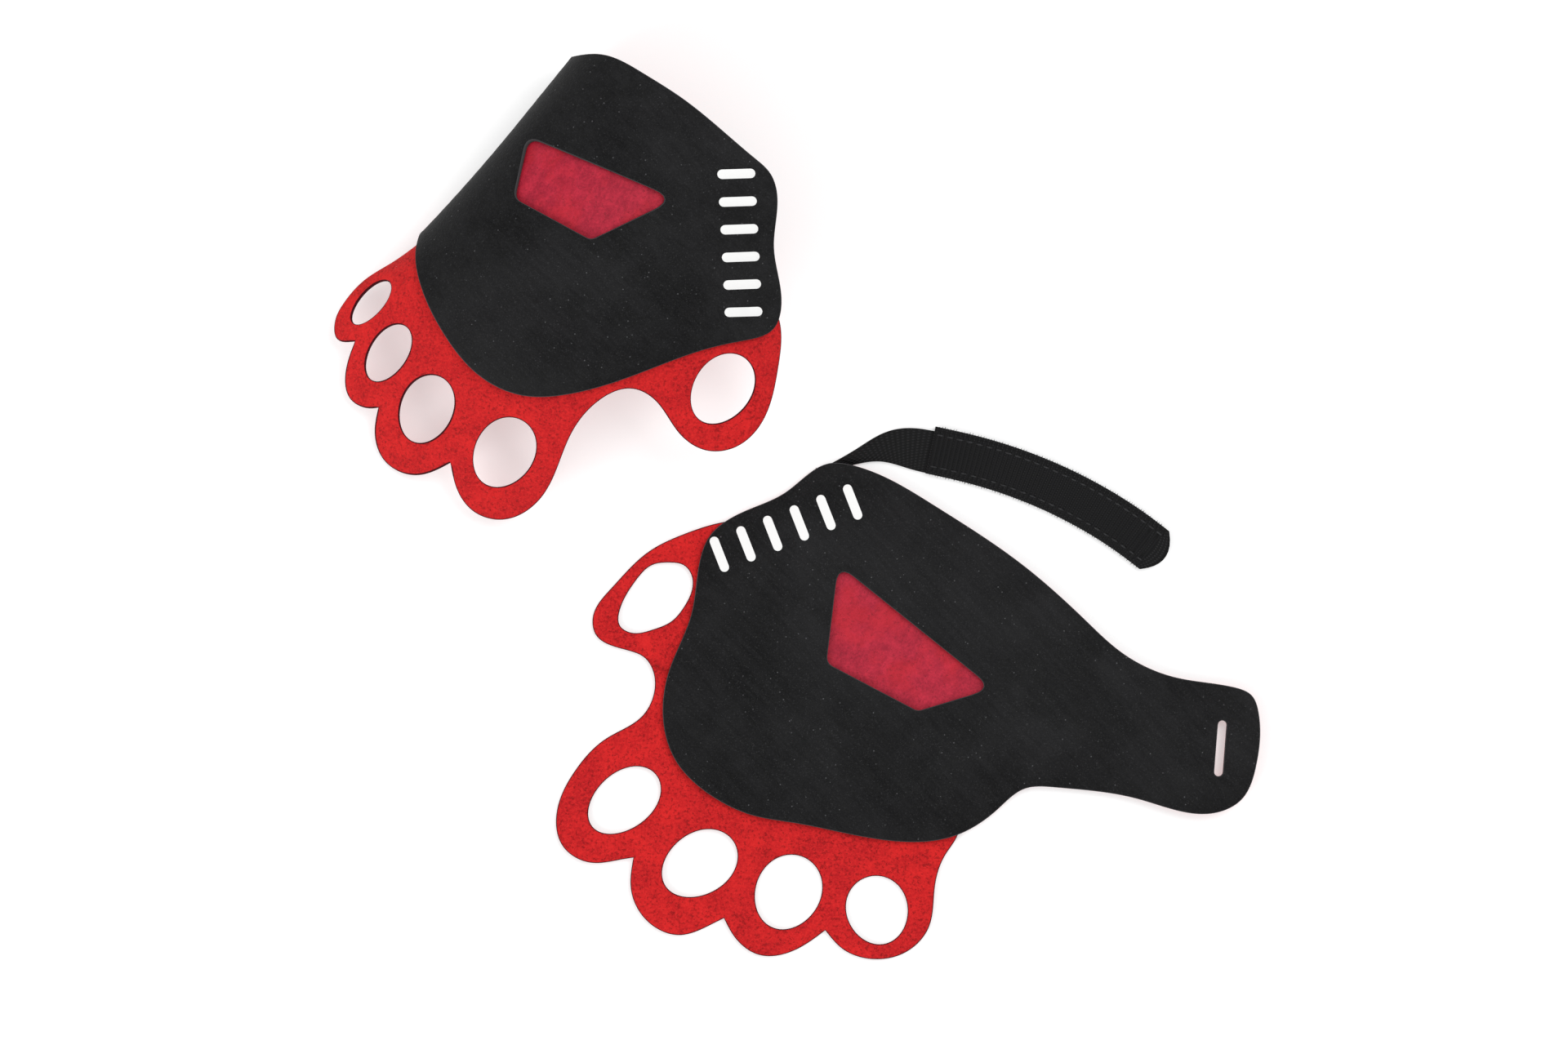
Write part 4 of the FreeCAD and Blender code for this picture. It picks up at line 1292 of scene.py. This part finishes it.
def make_row(name, band, lines, pitch, bead, look, stretch=None, shake=0.0, uneven=0.0,
             seed=1):
    """Beads along lines beside a band, baked to one plain mesh.  Lines are (keep, points)."""
    points, edges, out, ahead, sizes = [], [], [], [], []
    if stretch is None:
        stretch = np.ones((len(band.path), 3))
    for keep, line in lines:
        order = np.flatnonzero(keep)
        start = len(points)
        points += list(band.grip.world(line[order]))
        out += list(band.grip.heading(band.out[order]))
        ahead += list(band.grip.heading(band.ahead[order]))
        sizes += list(stretch[order])
        edges += [(start + k, start + k + 1) for k in range(len(order) - 1)]
    mesh = bpy.data.meshes.new(name)
    mesh.from_pydata([tuple(p) for p in points], edges, [])
    for key, values in (("out", out), ("ahead", ahead), ("stretch", sizes)):
        data = mesh.attributes.new(key, "FLOAT_VECTOR", "POINT").data
        data.foreach_set("vector", np.asarray(values, np.float32).ravel())
    rail = placed(name + "_rail", mesh)
    row = rail.modifiers.new("row", "NODES")
    row.node_group = ROW_TREE
    for key, value in (("Pitch", pitch * MM), ("Bead", bead), ("Shake", shake),
                       ("Uneven", uneven), ("Seed", seed), ("Look", look)):
        row[SOCKETS[key]] = value
    bpy.context.view_layer.update()
    depsgraph = bpy.context.evaluated_depsgraph_get()
    baked = bpy.data.meshes.new_from_object(rail.evaluated_get(depsgraph))
    bpy.data.objects.remove(rail)
    baked.name = name
    print(f"{name}: {len(baked.polygons)} faces")
    return placed(name, baked)


def small_part(name, points, faces):
    """A part for a row to repeat, from points in millimetres, kept out of the scene."""
    mesh = bpy.data.meshes.new(name)
    mesh.from_pydata((np.array(points) * MM).tolist(), [], faces)
    outward(mesh)
    return bpy.data.objects.new(name, mesh)


def make_bead(name, length, width, height, sides=6, rings=5):
    """A small capsule along X, round on top, that sits at its own origin."""
    points = []
    for ring in np.linspace(-1, 1, rings):
        fat = math.sqrt(max(0.08, 1 - ring ** 4))
        for k in range(sides):
            turn = 2 * math.pi * k / sides
            points.append((ring * length / 2, math.cos(turn) * width / 2 * fat,
                           math.sin(turn) * height * fat))
    return small_part(name, points, tube(rings, sides))


def make_rib(name, width, height, steps=7):
    """A rib one millimetre long along Y, half round, to be stretched across a band."""
    arc = [(math.cos(math.pi * k / 4) * width / 2, math.sin(math.pi * k / 4) * height)
           for k in range(5)]
    arc += [(-width / 2, -RIB_ROOT), (width / 2, -RIB_ROOT)]
    points = []
    for share in np.linspace(-0.5, 0.5, steps):
        sink = height * RIB_END_SINK if abs(share) == 0.5 else 0.0
        points += [(x, share, z - (sink if z > 0 else 0)) for x, z in arc]
    return small_part(name, points, tube(steps, len(arc)))


RIB = make_rib("rib", 1.05, 0.16)
STITCH = make_bead("stitch", 2.3, 0.55, 0.22)
FIBRE = make_bead("fibre", 0.12, 1.3, 0.05, sides=4, rings=3)

# %% [markdown]
# ## The open strap
# The webbing comes out from under the wrist corner gathered into about half its width, so
# its middle stands up a little, and it flattens out on its way to the tape.  The tape is
# wider, is sewn down along both edges and across its start, and has hook pile under it
# whose cut ends show as fuzz along the edges.

# %% Open webbing
WEBBING = 1.0
TAPE = 1.0
HOOKS = 1.0
TAPE_WIDTH = 15.5
STITCH_INSET = 2.6
TIP_BULGE = 4.2
ROOT_TUCK = 7.0


def flat_band(far, near):
    """A band on the table between two edges in hand coordinates."""
    far = np.column_stack([LEFT.side * far[:, 0], far[:, 1]])
    near = np.column_stack([LEFT.side * near[:, 0], near[:, 1]])
    flat = np.zeros(len(far))
    across = np.column_stack([unit(far - near), flat])
    path = np.column_stack([(far + near) / 2, flat])
    return Band(LEFT, path, across, np.tile([0.0, 0.0, 1.0], (len(far), 1)),
                np.linalg.norm(far - near, axis=1))


def same_count(curve, count):
    """The curve resampled to a number of points, evenly along it."""
    steps = lengths(curve)
    wanted = np.linspace(0, steps[-1], count)
    return np.column_stack([np.interp(wanted, steps, curve[:, k]) for k in range(2)])


WEBBING_STEPS = 44
BAND_STEP = 0.7
LAP = 0.7               # how far the webbing runs in under the tape
FLOOR_GAP = 0.02
GATHER_START = 6.0
GATHER_HEIGHT = 2.2
far_edge = same_count(smooth(STRAP_FAR, step=0.5), WEBBING_STEPS)
near_edge = same_count(smooth(STRAP_NEAR, step=0.5), WEBBING_STEPS)
middle = far_edge + near_edge
root = unit(middle[0] - middle[3]) * ROOT_TUCK
lap = unit(middle[-1] - middle[-3]) * LAP
far_edge = np.vstack([far_edge[0] + root, far_edge, far_edge[-1] + lap])
near_edge = np.vstack([near_edge[0] + root, near_edge, near_edge[-1] + lap])
left_web_band = flat_band(far_edge, near_edge)
gathered = np.clip(1 - left_web_band.along / left_web_band.along[-1], 0, 1)
rise = np.clip((left_web_band.along - ROOT_TUCK) / GATHER_START, 0, 1)
rise *= gathered ** 1.5 * GATHER_HEIGHT
left_webbing = band_mesh("left_webbing_band", left_web_band, FLOOR_GAP, WEBBING, arch=rise)

# %% Open tape and hooks


def fasten_strap(side, webbing, tape, hooks):
    """Looks and nodes of one strap's three bands."""
    dressed(webbing, WEBBING_LOOK, [f"{side}_strap_webbing", f"{side}_strap_anchor"])
    dressed(tape, TAPE_LOOK, [f"{side}_strap_tape"])
    dressed(hooks, HOOK_LOOK, [f"{side}_strap_hooks"])


tape_far = smooth(TAPE_FAR, step=BAND_STEP)
tape_near = tape_far + left_of(unit(np.gradient(tape_far, axis=0))) * TAPE_WIDTH
left_tape_band = flat_band(tape_far, tape_near)
left_tape = band_mesh("left_tape_band", left_tape_band, HOOKS, HOOKS + TAPE, bow=TIP_BULGE)
left_hooks = band_mesh("left_hook_band", left_tape_band, FLOOR_GAP, HOOKS, bow=TIP_BULGE)
fasten_strap("left", left_webbing, left_tape, left_hooks)

# %% Ribs, stitches and fuzz on the open strap
RIB_PITCH = 1.5
RIB_MARGIN = 0.9
ROW_TRIM = 1.0
STITCH_SHARE = 1 - 2 * STITCH_INSET / TAPE_WIDTH
STITCH_PITCH = 3.2
STITCH_LIFT = 0.12
STITCH_TRIM = 1.5
FUZZ_PITCH = 0.9
FUZZ_SHARE = 0.985
FUZZ_HEIGHTS = (0.55, 0.85)


def make_stitches(name, band, lift, seed):
    """A row of stitches along each edge of a band."""
    lines = [band.row(share, lift + STITCH_LIFT, STITCH_TRIM)
             for share in (STITCH_SHARE, -STITCH_SHARE)]
    return make_row(name, band, lines, STITCH_PITCH, STITCH, THREAD_LOOK, uneven=0.06,
                    shake=0.04, seed=seed)


rib_stretch = np.ones((len(left_tape_band.path), 3))
rib_stretch[:, 1] = left_tape_band.width - 2 * RIB_MARGIN
left_tape_ribs = make_row("left_tape_ribs", left_tape_band,
                          [left_tape_band.row(0.0, HOOKS + TAPE, ROW_TRIM)], RIB_PITCH, RIB,
                          TAPE_LOOK, rib_stretch)
left_stitches = make_stitches("left_stitching", left_tape_band, HOOKS + TAPE, 3)
left_fuzz = make_row("left_hook_fuzz", left_tape_band,
                     [left_tape_band.row(share, height, ROW_TRIM)
                      for share in (FUZZ_SHARE, -FUZZ_SHARE) for height in FUZZ_HEIGHTS],
                     FUZZ_PITCH, FIBRE, HOOK_LOOK, uneven=0.45, shake=0.5, seed=8)
dressed(left_stitches, THREAD_LOOK, ["left_strap_stitching"])

# %% Points at the open strap's mouth and tail, and its pieces baked in place
MOUTH = (33.4, 132.7)
MOUTH_BEND = 6.5
TAIL_BEND_STEPS = 12
LEFT.spot(*MOUTH)
LEFT.spot(MOUTH[0] - MOUTH_BEND, MOUTH[1] + MOUTH_BEND)
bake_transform(left_webbing)
tail_bend = LEFT.world(left_tape_band.path[[0, TAIL_BEND_STEPS]]).tolist()
for thing in (left_tape, left_hooks, left_tape_ribs, left_stitches, left_fuzz):
    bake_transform(thing)

# %% [markdown]
# ## The closed strap
# Only glimpses of it show under the cuff.  It leaves its pocket under the rubber, turns down,
# runs along the table, goes up through the wing's slot and doubles back on itself.  Its path
# is a few straight runs whose corners are rounded, in the plane across the cuff.

# %% Closed strap's path
WEBBING_START_U = 26.0
EXIT_U = 37.0
EXIT_STEP = 0.8
EXIT_DROP = 0.9
FOOT_SHIFT = 0.5
KNEE_REACH = 3.6
KNEE_RADIUS = 3.2
WEBBING_DROP = 24.0
CUFF_RADIUS = 8.0
SLOT_RADIUS = 2.0
TURN_RADIUS = 2.2
TAIL_LEVEL = 9.4
STRAP_PLAY = 0.4
TAIL_REACH = 20.0
SEAT_GAP = 0.3


def fillet(corners, radii, step=BAND_STEP):
    """A path of straight runs with rounded corners, as (x, z) points."""
    path = [np.array(corners[0], float)]
    for number, radius in enumerate(radii):
        before, here, after = (np.array(corners[number + k], float) for k in range(3))
        into, away = unit(here - before), unit(after - here)
        turn = math.acos(float(np.clip(into @ away, -1, 1)))
        reach = radius * math.tan(turn / 2)
        side = math.copysign(1, into[0] * away[1] - into[1] * away[0])
        centre = here - into * reach + left_of(into) * side * radius
        begin = here - into * reach - centre
        for angle in np.linspace(0, turn * side, max(4, round(turn * radius / step))):
            path.append(centre + spin(angle) @ begin)
    path.append(np.array(corners[-1], float))
    dense = [path[0]]
    for start, end in zip(path, path[1:]):
        count = max(1, round(float(np.linalg.norm(end - start)) / step))
        dense += [start + (end - start) * (k + 1) / count for k in range(count)]
    return np.array(dense)


def upright_band(path, width):
    """A band of the closed strap: its path lies in the plane across the cuff."""
    points = np.column_stack([path[:, 0], np.full(len(path), CLOSED_STRAP_V), path[:, 1]])
    ahead = unit(np.gradient(path, axis=0))
    out = np.column_stack([-ahead[:, 1], np.zeros(len(path)), ahead[:, 0]])
    across = np.tile([0.0, 1.0, 0.0], (len(path), 1))
    return Band(RIGHT, points, across, out, width)


def under_panel(u):
    """A point of the strap's middle line just under the closed panel, as (x, z)."""
    crown = float(section(np.array([CLOSED_STRAP_V]))[0][0])
    place = right_form(np.array([[crown - u, CLOSED_STRAP_V]]), -EXIT_DROP)[0]
    return np.array([place[0], place[2]])


leave = under_panel(EXIT_U)
knee = leave + unit(under_panel(EXIT_U + EXIT_STEP) - leave) * KNEE_REACH
foot = np.array([leave[0] - FOOT_SHIFT, TAPE])
fall = unit(foot - knee)
join = knee + fall * WEBBING_DROP
turn_up = foot - fall * ((TAIL_LEVEL - TAPE) / -fall[1])
turn_up = turn_up - left_of(fall) * (2 * HOOKS + STRAP_PLAY)
tip = turn_up - fall * TAIL_REACH

under = [under_panel(u) for u in np.linspace(WEBBING_START_U, EXIT_U, 12)]
web_path = np.vstack([under[:-1], fillet([leave, knee, join], [KNEE_RADIUS])])
tail_path = fillet([join + fall * SEAT_GAP, foot, (CLOSED_SLOT_U, TAPE),
                    (CLOSED_SLOT_U, TAIL_LEVEL), turn_up, tip],
                   [CUFF_RADIUS, SLOT_RADIUS, TURN_RADIUS, CUFF_RADIUS])

# %% Closed strap's pieces
WEBBING_WIDTH = 14.0
right_web_band = upright_band(web_path, WEBBING_WIDTH)
right_tail_band = upright_band(tail_path, TAPE_WIDTH)
right_webbing = band_mesh("right_webbing_band", right_web_band, -WEBBING, 0)
right_tape = band_mesh("right_tape_band", right_tail_band, 0, TAPE)
right_hooks = band_mesh("right_hook_band", right_tail_band, -HOOKS, 0)
fasten_strap("right", right_webbing, right_tape, right_hooks)
right_stitches = make_stitches("right_stitching", right_tail_band, TAPE, 4)
for thing in (right_webbing, right_tape, right_hooks, right_stitches):
    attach(thing, "right_grip")
